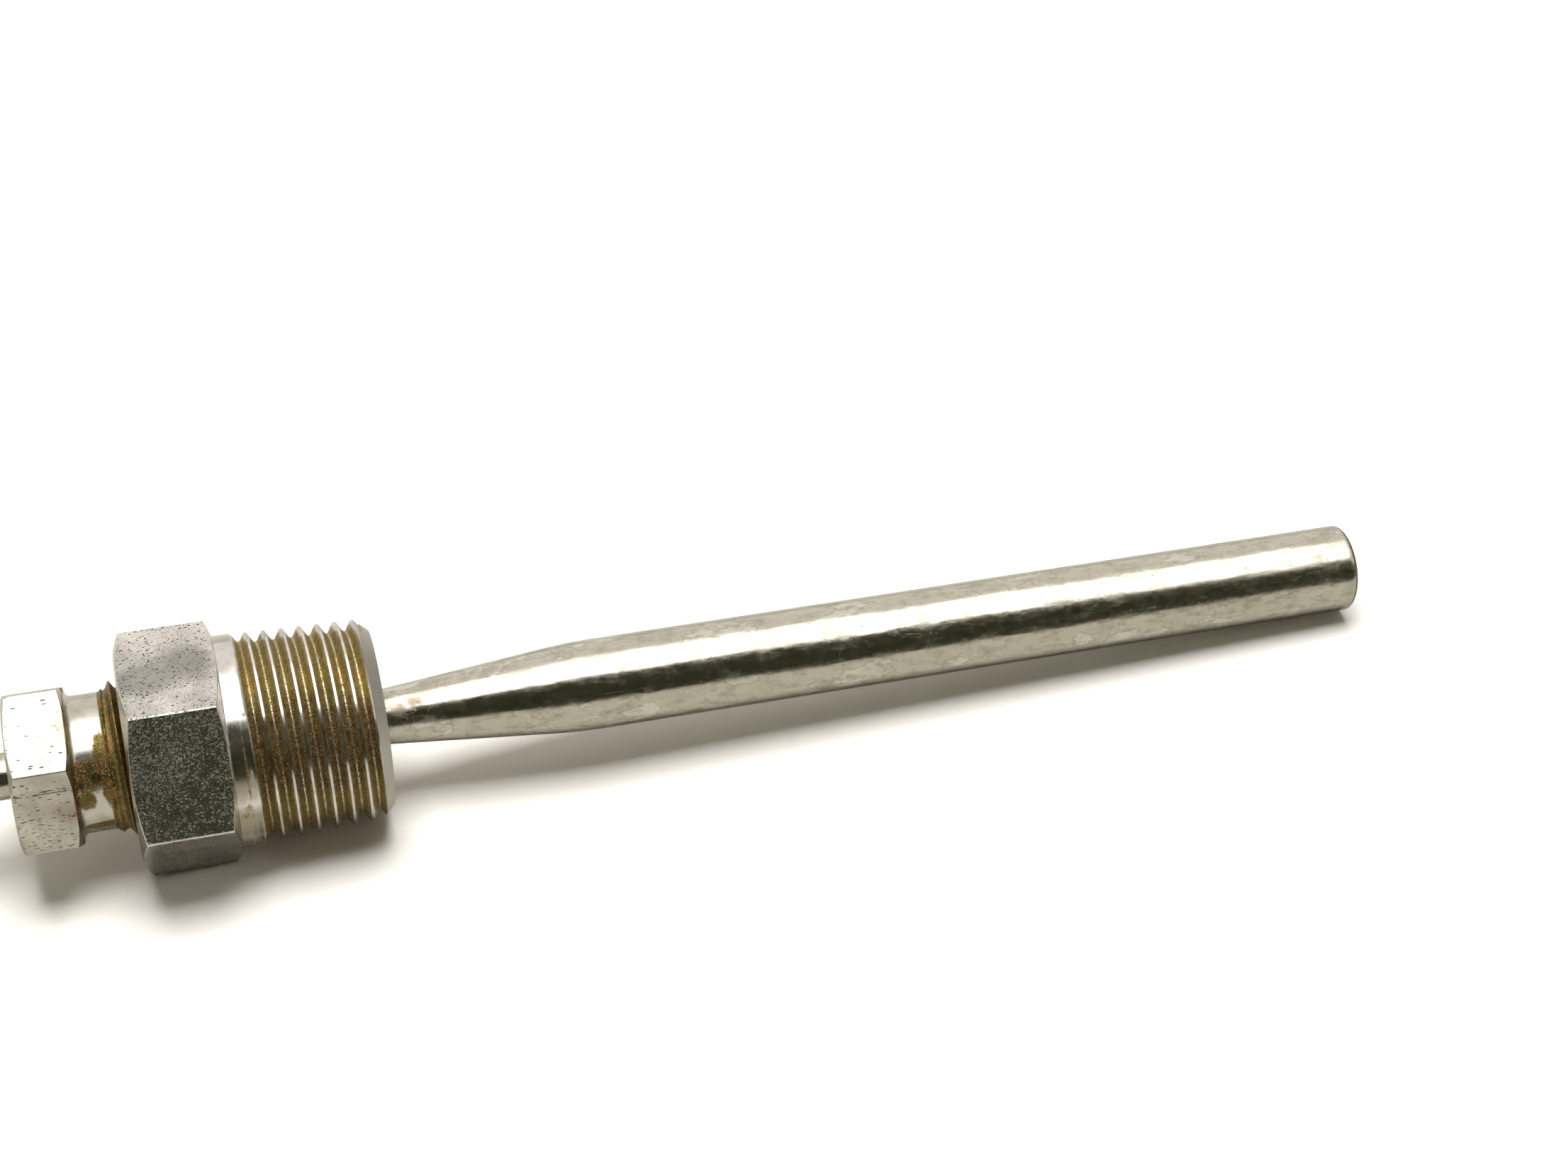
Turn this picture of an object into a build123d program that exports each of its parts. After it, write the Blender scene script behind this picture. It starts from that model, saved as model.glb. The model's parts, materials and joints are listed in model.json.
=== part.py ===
"""Thermocouple probe with an adjustable packing gland.

The axis of the probe is X, and +X points to the measuring tip. +Z is up.
The origin lies on that axis, in the shoulder plane under the big hexagon,
where the pipe thread begins. All sizes are in millimetres.

The tube is one piece: a thin stem that is drawn up to a thick body. It slides
and turns in the packing of the fitting, and ends in a two-pin connector.
"""
import os
from math import radians, tan

from build123d import *

# Process fitting: hexagon, neck and tapered pipe thread
FITTING_FLATS = 22.225
FITTING_HEX_LENGTH = 10.0
FITTING_CORNER_CHAMFER = 20.0
FITTING_FACE_SHARE = 0.96
NECK_RADIUS = 10.86
NECK_LENGTH = 1.7
PIPE_THREAD_END = 15.6
PIPE_THREAD_END_RADIUS = 10.37
PIPE_TAPER = 1 / 32
PIPE_PITCH = 25.4 / 14
PIPE_CREST_WIDTH = 0.3
PIPE_RIDGE_HEIGHT = 0.95
PIPE_END_CHAMFER_LENGTH = 1.35
PIPE_END_CHAMFER_DEPTH = 1.2

# Gland: fine thread, relieved neck and small hexagon
GLAND_FLATS = 15.875
GLAND_HEX_LENGTH = 6.1
GLAND_CORNER_CHAMFER = 20.0
GLAND_FACE_SHARE = 0.97
GLAND_TURN = 18.3
GLAND_NECK_RADIUS = 7.0
GLAND_NECK_LENGTH = 3.2
GLAND_NECK_FILLET = 0.6
GLAND_THREAD_RADIUS = 7.9375
GLAND_THREAD_LEAD = 25.4 / 18
GLAND_THREAD_SHOWN = 2.1
GLAND_THREAD_LENGTH = 9.6
GLAND_TURNS_TO_LOOSEN = 3
GLAND_MOUTH_CHAMFER = 0.7
GLAND_RUN_OUT = 0.55

# Packing chamber inside the fitting
CHAMBER_RADIUS = 7.1
FOLLOWER_LENGTH = 3.0
FOLLOWER_CHAMFER = 0.3
RING_COUNT = 3
RING_LENGTH = 2.2
SEAT_LENGTH = 1.2
OUTLET_RADIUS = 3.4
OUTLET_DEPTH = 5.0

# Tube: stem, taper and body
STEM_RADIUS = 2.38125
STEM_WALL = 0.71
BODY_RADIUS = 4.7625
BODY_WALL = 1.24
TAPER_START = 10.5
TAPER_LENGTH = 25.4
TIP = 123.8
TIP_EDGE_RADIUS = 0.4
TIP_PLUG_LENGTH = 3.0

# Sensing pair and its insulation
WIRE_RADIUS = 0.4
WIRE_SPACING = 1.6
JUNCTION_RADIUS = 1.35
TIP_FILL_LENGTH = 8.0
BEAD_COUNT = 8
BEAD_GAP = 0.2
SEAL_LENGTH = 5.0
SEAL_CAP_LENGTH = 1.2
SEAL_CAP_RADIUS = 2.1

# How far the stem slides through the loosened gland
INSERTION_TRAVEL = 25.4
ADAPTER_STOP_GAP = 2.0

# Adapter that joins the stem to the connector
ADAPTER_NOSE_LENGTH = 6.0
ADAPTER_NOSE_RADIUS = 4.6
ADAPTER_NOSE_CHAMFER = 0.5
ADAPTER_SHANK_RADIUS = 3.6
ADAPTER_FLANGE_RADIUS = 4.5
ADAPTER_FLANGE_LENGTH = 2.0
ADAPTER_COLLAR_GAP = 2.5
ADAPTER_SHANK_LENGTH = 8.0
SET_SCREW_RADIUS = 1.25

# Moulded connector housing
HOUSING_LENGTH = 32.0
HOUSING_WIDTH = 24.0
HOUSING_REAR_WIDTH = 15.0
HOUSING_SHOULDER = 11.0
HALF_THICKNESS = 6.0
HOUSING_CORNER = 2.0
HOUSING_EDGE = 0.9
GRIP_GROOVES = 5
GRIP_PITCH = 2.4
GRIP_WIDTH = 1.2
GRIP_DEPTH = 0.7
GRIP_START = 3.5
FRONT_WALL = 2.0
ROOF = 1.3

# Pins and their clamps
POSITIVE_PIN_RADIUS = 1.98
NEGATIVE_PIN_RADIUS = 2.38
PIN_LENGTH = 14.5
PIN_SPACING = 11.1
PIN_NOSE_CHAMFER = 0.6
PIN_ROOT_STEP = 0.3
COLLAR_RIM = 0.8
COLLAR_LENGTH = 1.6
TAB_LENGTH = 10.0
TAB_WIDTH = 5.2
TAB_TOP = 1.2
TAB_BOTTOM = -1.6
TERMINAL_FROM_COLLAR = 6.0
TERMINAL_SCREW_RADIUS = 1.2
TERMINAL_SCREW_LENGTH = 3.6
TERMINAL_HEAD_RADIUS = 2.3
TERMINAL_HEAD_LENGTH = 1.5
WASHER_RADIUS = 2.5
WASHER_LENGTH = 0.5
WIRE_FROM_SCREW = 1.65
WIRE_ROOM_DEPTH = 1.6
WIRE_ROOM_HALF_WIDTH = 5.2
WIRE_BEND_RADIUS = 1.5
WIRE_BEND_RUN = 1.5
WIRE_SPREAD_RUN = 5.0

# Cover screws and their inserts
COVER_SCREW_RADIUS = 1.25
COVER_SCREW_HEAD_RADIUS = 2.2
COVER_SCREW_HEAD_LENGTH = 1.5
COVER_SCREW_SINK = 0.5
COVER_SCREW_REACH = 4.0
REAR_SCREW_BACK = 16.6
FRONT_SCREW_SHARE = 0.5844
INSERT_RADIUS = 1.9
INSERT_LENGTH = 4.6
INSERT_WALL = 0.4
SLOT_WIDTH = 0.6
SLOT_DEPTH = 0.7

# Clearances, each measured on the radius or on one side
THREAD_CLEARANCE = 0.08
PACKING_CLEARANCE = 0.05
CHAMBER_CLEARANCE = 0.10
STEM_CLEARANCE = 0.30
SCREW_CLEARANCE = 0.08
COVER_CLEARANCE = 0.30
POCKET_CLEARANCE = 0.05

# Places along X that follow from the sizes above
fitting_left = -FITTING_HEX_LENGTH
thread_left = fitting_left - GLAND_THREAD_SHOWN
gland_hex_right = thread_left - GLAND_NECK_LENGTH
gland_left = gland_hex_right - GLAND_HEX_LENGTH
gland_end = thread_left + GLAND_THREAD_LENGTH
follower_end = gland_end + FOLLOWER_LENGTH
packing_end = follower_end + RING_COUNT * RING_LENGTH
chamber_end = packing_end + SEAT_LENGTH
gland_travel = GLAND_THREAD_LEAD * GLAND_TURNS_TO_LOOSEN
taper_end = TAPER_START + TAPER_LENGTH
plug_left = TIP - TIP_PLUG_LENGTH
adapter_right = gland_left - gland_travel - INSERTION_TRAVEL - ADAPTER_STOP_GAP
housing_rear = adapter_right - ADAPTER_NOSE_LENGTH
adapter_left = housing_rear - ADAPTER_SHANK_LENGTH
housing_front = housing_rear - HOUSING_LENGTH
stem_left = adapter_left
collar_left = housing_front + FRONT_WALL
collar_right = collar_left + COLLAR_LENGTH
tab_right = collar_right + TAB_LENGTH
terminal_x = collar_right + TERMINAL_FROM_COLLAR
roof_z = HALF_THICKNESS - ROOF
wire_z = TAB_TOP + WIRE_RADIUS
washer_z = TAB_TOP + 2 * WIRE_RADIUS
head_z = washer_z + WASHER_LENGTH
junction_x = plug_left - JUNCTION_RADIUS
fill_left = plug_left - TIP_FILL_LENGTH

# The front cover screw sits a share of the way from the rear one to the housing's front
rear_screw_x = housing_rear - REAR_SCREW_BACK
front_screw_x = rear_screw_x + FRONT_SCREW_SHARE * (housing_front - rear_screw_x)

PINS = (("positive", 1, POSITIVE_PIN_RADIUS), ("negative", -1, NEGATIVE_PIN_RADIUS))
COVER_SCREWS = (("cover_screw_rear", rear_screw_x), ("cover_screw_front", front_screw_x))


def turned(points):
    """A solid of revolution about X, from a closed outline of (x, radius) points."""
    return revolve(make_face(Polyline(*points, close=True)), Axis.X, 360)


def rod(x0, x1, radius, y=0.0, z=0.0):
    """A round bar along X, from x0 to x1."""
    return Plane(origin=(x0, y, z), x_dir=(0, 1, 0), z_dir=(1, 0, 0)) * extrude(Circle(radius), x1 - x0)


def post(x, y, z0, z1, radius):
    """An upright round bar along Z, from z0 to z1."""
    return Pos(x, y, z0) * extrude(Circle(radius), z1 - z0)


def block(x0, x1, y0, y1, z0, z1):
    """A box between two corners."""
    middle = Pos((x0 + x1) / 2, (y0 + y1) / 2, (z0 + z1) / 2)
    return middle * Box(x1 - x0, y1 - y0, z1 - z0)


def hexagon_bar(flats, x0, x1, face_share, angle, turn=0.0):
    """A hexagon bar along X. Its corners are turned off at both ends by a very flat dome.

    Each dome is a ball centred on the axis. It meets the end face in a circle, and the
    corners where a cone of the given angle would.
    """
    face_radius = face_share * flats / 2
    corner_radius = flats / 3 ** 0.5
    drop = (corner_radius - face_radius) * tan(radians(angle))
    reach = (corner_radius ** 2 - face_radius ** 2 + drop ** 2) / (2 * drop)
    ball = Rot(0, 90, 0) * Sphere((reach ** 2 + face_radius ** 2) ** 0.5)
    section = RegularPolygon(corner_radius, 6, major_radius=True, rotation=turn)
    bar = Plane(origin=(x0, 0, 0), x_dir=(0, 1, 0), z_dir=(1, 0, 0)) * extrude(section, x1 - x0)
    return bar & Pos(x0 + reach, 0, 0) * ball & Pos(x1 - reach, 0, 0) * ball


def pipe_thread_outline():
    """The tapered thread as a row of rings: (x, radius) points from the neck to the end.

    Each ring has a narrow crest and 60 degree flanks. The last one runs into the chamfer.
    """
    chamfer_x = PIPE_THREAD_END - PIPE_END_CHAMFER_LENGTH
    half = PIPE_CREST_WIDTH / 2
    foot = half + PIPE_RIDGE_HEIGHT * tan(radians(30))
    whole_rings = int((chamfer_x - half - foot - NECK_LENGTH) / PIPE_PITCH)
    points = []
    for ring in range(whole_rings, -1, -1):
        crest = chamfer_x - half - ring * PIPE_PITCH
        for x, depth in ((crest - foot, PIPE_RIDGE_HEIGHT), (crest - half, 0),
                         (crest + half, 0), (crest + foot, PIPE_RIDGE_HEIGHT)):
            points.append((x, PIPE_THREAD_END_RADIUS + (PIPE_THREAD_END - x) * PIPE_TAPER - depth))
    points[-1] = (PIPE_THREAD_END, PIPE_THREAD_END_RADIUS - PIPE_END_CHAMFER_DEPTH)
    return points


def process_fitting():
    """Hexagon, neck and tapered thread, bored for gland, packing and stem."""
    bar = hexagon_bar(FITTING_FLATS, fitting_left, 0, FITTING_FACE_SHARE, FITTING_CORNER_CHAMFER)
    shank = turned([
        (fitting_left / 2, 0), (fitting_left / 2, NECK_RADIUS), (NECK_LENGTH, NECK_RADIUS),
        *pipe_thread_outline(), (PIPE_THREAD_END, 0),
    ])
    bore = GLAND_THREAD_RADIUS + THREAD_CLEARANCE
    chamber = CHAMBER_RADIUS + CHAMBER_CLEARANCE
    way = STEM_RADIUS + STEM_CLEARANCE
    hollow = turned([
        (fitting_left, 0), (fitting_left, bore + GLAND_MOUTH_CHAMFER),
        (fitting_left + GLAND_MOUTH_CHAMFER, bore), (gland_end, bore), (gland_end, chamber),
        (chamber_end, chamber), (chamber_end, way), (PIPE_THREAD_END - OUTLET_DEPTH, way),
        (PIPE_THREAD_END, OUTLET_RADIUS), (PIPE_THREAD_END, 0),
    ])
    return bar + shank - hollow


def gland_nut():
    """Small hexagon, relieved neck and fine thread, bored for the stem."""
    bar = hexagon_bar(GLAND_FLATS, gland_left, gland_hex_right, GLAND_FACE_SHARE,
                      GLAND_CORNER_CHAMFER, GLAND_TURN)
    lead_in = GLAND_THREAD_RADIUS - GLAND_NECK_RADIUS
    hex_middle = (gland_left + gland_hex_right) / 2
    shank = turned([
        (hex_middle, 0), (hex_middle, GLAND_NECK_RADIUS), (thread_left, GLAND_NECK_RADIUS),
        (thread_left + GLAND_RUN_OUT, GLAND_THREAD_RADIUS), (gland_end - lead_in, GLAND_THREAD_RADIUS),
        (gland_end, GLAND_NECK_RADIUS), (gland_end, 0),
    ])
    nut = bar + shank
    root = nut.edges().filter_by(GeomType.CIRCLE).filter_by(
        lambda edge: abs(edge.radius - GLAND_NECK_RADIUS) < 0.01
        and abs(edge.center().X - gland_hex_right) < 0.01)
    nut = fillet(root, GLAND_NECK_FILLET)
    return nut - rod(gland_left, gland_end, STEM_RADIUS + STEM_CLEARANCE)


def packing_follower():
    """Thrust ring between the nut and the packing."""
    ring = rod(gland_end, follower_end, CHAMBER_RADIUS)
    ring = chamfer(ring.edges().filter_by(GeomType.CIRCLE), FOLLOWER_CHAMFER)
    return ring - rod(gland_end, follower_end, STEM_RADIUS + STEM_CLEARANCE)


def packing_rings():
    """Soft rings stacked in the chamber, gripping the stem."""
    rings = []
    for index in range(RING_COUNT):
        left = follower_end + index * RING_LENGTH
        ring = rod(left, left + RING_LENGTH, CHAMBER_RADIUS)
        rings.append(ring - rod(left, left + RING_LENGTH, STEM_RADIUS + PACKING_CLEARANCE))
    return rings


def packing_seat():
    """Washer at the bottom of the packing chamber."""
    washer = rod(packing_end, chamber_end, CHAMBER_RADIUS)
    return washer - rod(packing_end, chamber_end, STEM_RADIUS + STEM_CLEARANCE)


def sheath_tube():
    """Stem, long taper and body of the tube, with the same taper inside."""
    outside = turned([
        (stem_left, 0), (stem_left, STEM_RADIUS), (TAPER_START, STEM_RADIUS),
        (taper_end, BODY_RADIUS), (TIP, BODY_RADIUS), (TIP, 0),
    ])
    end_edge = outside.edges().filter_by(GeomType.CIRCLE).filter_by(
        lambda edge: abs(edge.center().X - TIP) < 0.01)
    outside = fillet(end_edge, TIP_EDGE_RADIUS)
    inside = turned([
        (stem_left, 0), (stem_left, STEM_RADIUS - STEM_WALL), (TAPER_START, STEM_RADIUS - STEM_WALL),
        (taper_end, BODY_RADIUS - BODY_WALL), (TIP, BODY_RADIUS - BODY_WALL), (TIP, 0),
    ])
    return outside - inside


def tip_plug():
    """Round plug that closes the tube."""
    return rod(plug_left, TIP, BODY_RADIUS - BODY_WALL)


def wire_ways(x0, x1):
    """The two bores for the conductors, from x0 to x1."""
    return rod(x0, x1, WIRE_RADIUS, WIRE_SPACING / 2) + rod(x0, x1, WIRE_RADIUS, -WIRE_SPACING / 2)


def stem_insulation():
    """Packed insulation in the stem and in the taper."""
    left = stem_left + SEAL_LENGTH
    core = turned([
        (left, 0), (left, STEM_RADIUS - STEM_WALL), (TAPER_START, STEM_RADIUS - STEM_WALL),
        (taper_end, BODY_RADIUS - BODY_WALL), (taper_end, 0),
    ])
    return core - wire_ways(left, taper_end)


def bead_insulators():
    """A row of two-bore beads in the body of the tube."""
    pitch = (fill_left - taper_end) / BEAD_COUNT
    beads = []
    for index in range(BEAD_COUNT):
        left = taper_end + index * pitch
        right = left + pitch - BEAD_GAP
        beads.append(rod(left, right, BODY_RADIUS - BODY_WALL) - wire_ways(left, right))
    return beads


def measuring_junction():
    """Welded bead that joins the two conductors at the tip."""
    ball = Pos(junction_x - JUNCTION_RADIUS / 2, 0, 0) * Sphere(JUNCTION_RADIUS)
    cut = JUNCTION_RADIUS * 2
    return ball & block(junction_x - JUNCTION_RADIUS, junction_x + cut, -cut, cut, -cut, cut)


def tip_fill():
    """Packed powder round the junction."""
    plug = rod(fill_left, plug_left, BODY_RADIUS - BODY_WALL)
    return plug - measuring_junction() - wire_ways(fill_left, junction_x - JUNCTION_RADIUS)


def conductor(side):
    """One conductor, from the junction to the clamp of its pin."""
    inner_y = side * WIRE_SPACING / 2
    outer_y = side * (PIN_SPACING / 2 - WIRE_FROM_SCREW)
    bend_x = adapter_left - SEAL_CAP_LENGTH - WIRE_BEND_RUN
    path = FilletPolyline(
        (junction_x - JUNCTION_RADIUS, inner_y, 0),
        (bend_x, inner_y, 0),
        (bend_x - WIRE_SPREAD_RUN, outer_y, wire_z),
        (terminal_x - TERMINAL_HEAD_RADIUS, outer_y, wire_z),
        radius=WIRE_BEND_RADIUS,
    )
    section = Plane(origin=path @ 0, z_dir=path % 0) * Circle(WIRE_RADIUS)
    return sweep(section, path=path)


def end_seal():
    """Potting plug at the open end of the stem."""
    right = stem_left + SEAL_LENGTH
    seal = rod(stem_left, right, STEM_RADIUS - STEM_WALL)
    seal += rod(stem_left - SEAL_CAP_LENGTH, stem_left, SEAL_CAP_RADIUS)
    return seal - wire_ways(stem_left - SEAL_CAP_LENGTH, right)


def adapter_outline(clearance=0.0):
    """The adapter's outer form. With a clearance, the pocket that holds it."""
    flange_right = housing_rear - ADAPTER_COLLAR_GAP
    flange_left = flange_right - ADAPTER_FLANGE_LENGTH
    shank = ADAPTER_SHANK_RADIUS + clearance
    flange = ADAPTER_FLANGE_RADIUS + clearance
    return turned([
        (adapter_left, 0), (adapter_left, shank), (flange_left - clearance, shank),
        (flange_left - clearance, flange), (flange_right + clearance, flange),
        (flange_right + clearance, shank), (housing_rear, shank), (housing_rear, 0),
    ])


def stem_adapter():
    """Bushing on the stem: nose outside the housing, flange inside it."""
    nose = rod(housing_rear, adapter_right, ADAPTER_NOSE_RADIUS)
    nose = chamfer(nose.edges().filter_by(GeomType.CIRCLE), ADAPTER_NOSE_CHAMFER)
    set_screw_x = (housing_rear + adapter_right) / 2
    bushing = nose + adapter_outline() - rod(adapter_left, adapter_right, STEM_RADIUS)
    return bushing - post(set_screw_x, 0, 0, ADAPTER_NOSE_RADIUS, SET_SCREW_RADIUS)


def adapter_set_screw():
    """Headless screw that grips the stem, flush with the nose."""
    set_screw_x = (housing_rear + adapter_right) / 2
    top = ADAPTER_NOSE_RADIUS - SLOT_DEPTH / 2
    screw = post(set_screw_x, 0, 0, top, SET_SCREW_RADIUS) - rod(adapter_left, adapter_right, STEM_RADIUS)
    half = SLOT_WIDTH / 2
    return screw - block(set_screw_x - SET_SCREW_RADIUS, set_screw_x + SET_SCREW_RADIUS,
                         -half, half, top - SLOT_DEPTH, top)


def housing_half(side):
    """One moulded half, a solid with rounded outer edges. side is 1 above, -1 below."""
    shoulder_x = housing_rear - HOUSING_SHOULDER
    half_front = HOUSING_WIDTH / 2
    half_rear = HOUSING_REAR_WIDTH / 2
    outline = make_face(Polyline(
        (housing_front, -half_front), (shoulder_x, -half_front), (housing_rear, -half_rear),
        (housing_rear, half_rear), (shoulder_x, half_front), (housing_front, half_front), close=True))
    outline = fillet(outline.vertices(), HOUSING_CORNER)
    shell = extrude(outline, side * HALF_THICKNESS)
    outer_face = shell.faces().sort_by(Axis.Z)[-1 if side > 0 else 0]
    shell = fillet(outer_face.edges(), HOUSING_EDGE)
    for index in range(GRIP_GROOVES):
        x = housing_front + GRIP_START + index * GRIP_PITCH
        for y in (-half_front, half_front):
            shell -= block(x, x + GRIP_WIDTH, y - GRIP_DEPTH, y + GRIP_DEPTH,
                           -HALF_THICKNESS, HALF_THICKNESS)
    return shell


def pin_pockets(clearance):
    """What both halves give way to: the pins, their collars and tabs."""
    room = Part()
    for name, side, radius in PINS:
        y = side * PIN_SPACING / 2
        half = TAB_WIDTH / 2 + clearance
        room += rod(housing_front, collar_right, radius + PIN_ROOT_STEP + clearance, y)
        room += rod(collar_left - clearance, collar_right + clearance, radius + COLLAR_RIM + clearance, y)
        room += block(collar_right, tab_right + clearance, y - half, y + half, TAB_BOTTOM - clearance,
                      TAB_TOP + clearance)
    return room


def connector_base():
    """Lower half: pockets for pins, adapter, wires and inserts."""
    base = housing_half(-1) - adapter_outline(POCKET_CLEARANCE) - pin_pockets(POCKET_CLEARANCE)
    room_right = adapter_left
    base -= block(tab_right, room_right, -WIRE_ROOM_HALF_WIDTH, WIRE_ROOM_HALF_WIDTH, -WIRE_ROOM_DEPTH, 0)
    seal_room = SEAL_CAP_RADIUS + POCKET_CLEARANCE
    base -= rod(adapter_left - 2 * SEAL_CAP_LENGTH, adapter_left, seal_room)
    for name, x in COVER_SCREWS:
        base += post(x, 0, -HALF_THICKNESS + ROOF, 0, INSERT_RADIUS + INSERT_WALL)
        base -= post(x, 0, -INSERT_LENGTH, 0, INSERT_RADIUS)
    return base


def connector_cover():
    """Upper half: the same pockets, and room over the clamps."""
    cover = housing_half(1) - adapter_outline(COVER_CLEARANCE) - pin_pockets(COVER_CLEARANCE)
    cover -= block(tab_right, adapter_left, -WIRE_ROOM_HALF_WIDTH, WIRE_ROOM_HALF_WIDTH, 0,
                   washer_z + COVER_CLEARANCE)
    reach = WASHER_RADIUS + COVER_CLEARANCE
    for name, side, radius in PINS:
        y = side * PIN_SPACING / 2
        cover -= block(collar_right, tab_right, y - reach, y + reach, 0, roof_z)
    for name, x in COVER_SCREWS:
        cover += post(x, 0, 0, HALF_THICKNESS - ROOF, INSERT_RADIUS + INSERT_WALL)
        cover -= post(x, 0, 0, HALF_THICKNESS, COVER_SCREW_RADIUS + SCREW_CLEARANCE)
        head_bottom = HALF_THICKNESS - COVER_SCREW_SINK - COVER_SCREW_HEAD_LENGTH
        cover -= post(x, 0, head_bottom, HALF_THICKNESS, COVER_SCREW_HEAD_RADIUS + SCREW_CLEARANCE)
    return cover


def connector_pin(side, radius):
    """Round pin with a thicker root, a collar and a flat tab, drilled for the clamp screw."""
    y = side * PIN_SPACING / 2
    tip_x = housing_front - PIN_LENGTH
    pin = rod(tip_x, housing_front, radius, y)
    nose = pin.edges().filter_by(GeomType.CIRCLE).sort_by(Axis.X)[0]
    pin = chamfer(nose, PIN_NOSE_CHAMFER)
    pin += rod(housing_front, collar_left, radius + PIN_ROOT_STEP, y)
    pin += rod(collar_left, collar_right, radius + COLLAR_RIM, y)
    pin += block(collar_right, tab_right, y - TAB_WIDTH / 2, y + TAB_WIDTH / 2, TAB_BOTTOM, TAB_TOP)
    screw_bottom = head_z - TERMINAL_SCREW_LENGTH
    return pin - post(terminal_x, y, screw_bottom, TAB_TOP, TERMINAL_SCREW_RADIUS)


def slotted_screw(x, y, head_bottom, head_length, head_radius, shank_radius, shank_length):
    """A cheese-head screw with a driver slot, standing along Z."""
    top = head_bottom + head_length
    screw = post(x, y, head_bottom - shank_length, head_bottom, shank_radius)
    screw += post(x, y, head_bottom, top, head_radius)
    half = SLOT_WIDTH / 2
    return screw - block(x - head_radius, x + head_radius, y - half, y + half, top - SLOT_DEPTH, top)


def terminal_screws():
    """The two clamp screws on the tabs of the pins."""
    return [slotted_screw(terminal_x, side * PIN_SPACING / 2, head_z, TERMINAL_HEAD_LENGTH,
                          TERMINAL_HEAD_RADIUS, TERMINAL_SCREW_RADIUS, TERMINAL_SCREW_LENGTH)
            for name, side, radius in PINS]


def clamp_washers():
    """The two washers that press the conductors down."""
    return [post(terminal_x, side * PIN_SPACING / 2, washer_z, head_z, WASHER_RADIUS)
            - post(terminal_x, side * PIN_SPACING / 2, washer_z, head_z, TERMINAL_SCREW_RADIUS)
            for name, side, radius in PINS]


def cover_screw(x):
    """One cover screw, with its head sunk in the cover."""
    head_bottom = HALF_THICKNESS - COVER_SCREW_SINK - COVER_SCREW_HEAD_LENGTH
    return slotted_screw(x, 0, head_bottom, COVER_SCREW_HEAD_LENGTH, COVER_SCREW_HEAD_RADIUS,
                         COVER_SCREW_RADIUS, head_bottom + COVER_SCREW_REACH)


def screw_inserts():
    """Threaded inserts in the base, drawn with a plain bore."""
    return [post(x, 0, -INSERT_LENGTH, 0, INSERT_RADIUS)
            - post(x, 0, -INSERT_LENGTH, 0, COVER_SCREW_RADIUS + SCREW_CLEARANCE)
            for name, x in COVER_SCREWS]


def write_part(node, shape):
    """Writes one node: a solid, or a group of separate solids."""
    if isinstance(shape, list):
        shape = Compound(children=[solid for piece in shape for solid in piece.solids()])
    export_step(shape, os.path.join("parts", node + ".step"))


def main():
    os.makedirs("parts", exist_ok=True)
    write_part("process_fitting", process_fitting())
    write_part("gland_nut", gland_nut())
    write_part("packing_follower", packing_follower())
    write_part("packing_rings", packing_rings())
    write_part("packing_seat", packing_seat())
    write_part("sheath_tube", sheath_tube())
    write_part("tip_plug", tip_plug())
    write_part("stem_insulation", stem_insulation())
    write_part("bead_insulators", bead_insulators())
    write_part("tip_fill", tip_fill())
    write_part("measuring_junction", measuring_junction())
    write_part("end_seal", end_seal())
    write_part("stem_adapter", stem_adapter())
    write_part("adapter_set_screw", adapter_set_screw())
    write_part("connector_base", connector_base())
    write_part("connector_cover", connector_cover())
    write_part("terminal_screws", terminal_screws())
    write_part("clamp_washers", clamp_washers())
    write_part("screw_inserts", screw_inserts())
    for name, side, radius in PINS:
        write_part(name + "_conductor", conductor(side))
        write_part(name + "_pin", connector_pin(side, radius))
    for name, x in COVER_SCREWS:
        write_part(name, cover_screw(x))


main()
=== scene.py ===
# %% [markdown]
# A temperature probe for a boiler: a thick steel tube with a closed tip, drawn down
# to a thin stem, and a hexagonal fitting that seals on the stem and screws into a pipe.
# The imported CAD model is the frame. It says where every piece is and what moves. This
# lesson dresses it: turned and threaded surfaces are worked out with numpy, and the
# pits, rust and stains of the metal come from a few shader node groups.

# %% Frame
import json
from math import cos, degrees, pi, radians, sin, tan

import bpy
import numpy as np
from mathutils import Matrix, Vector


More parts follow.
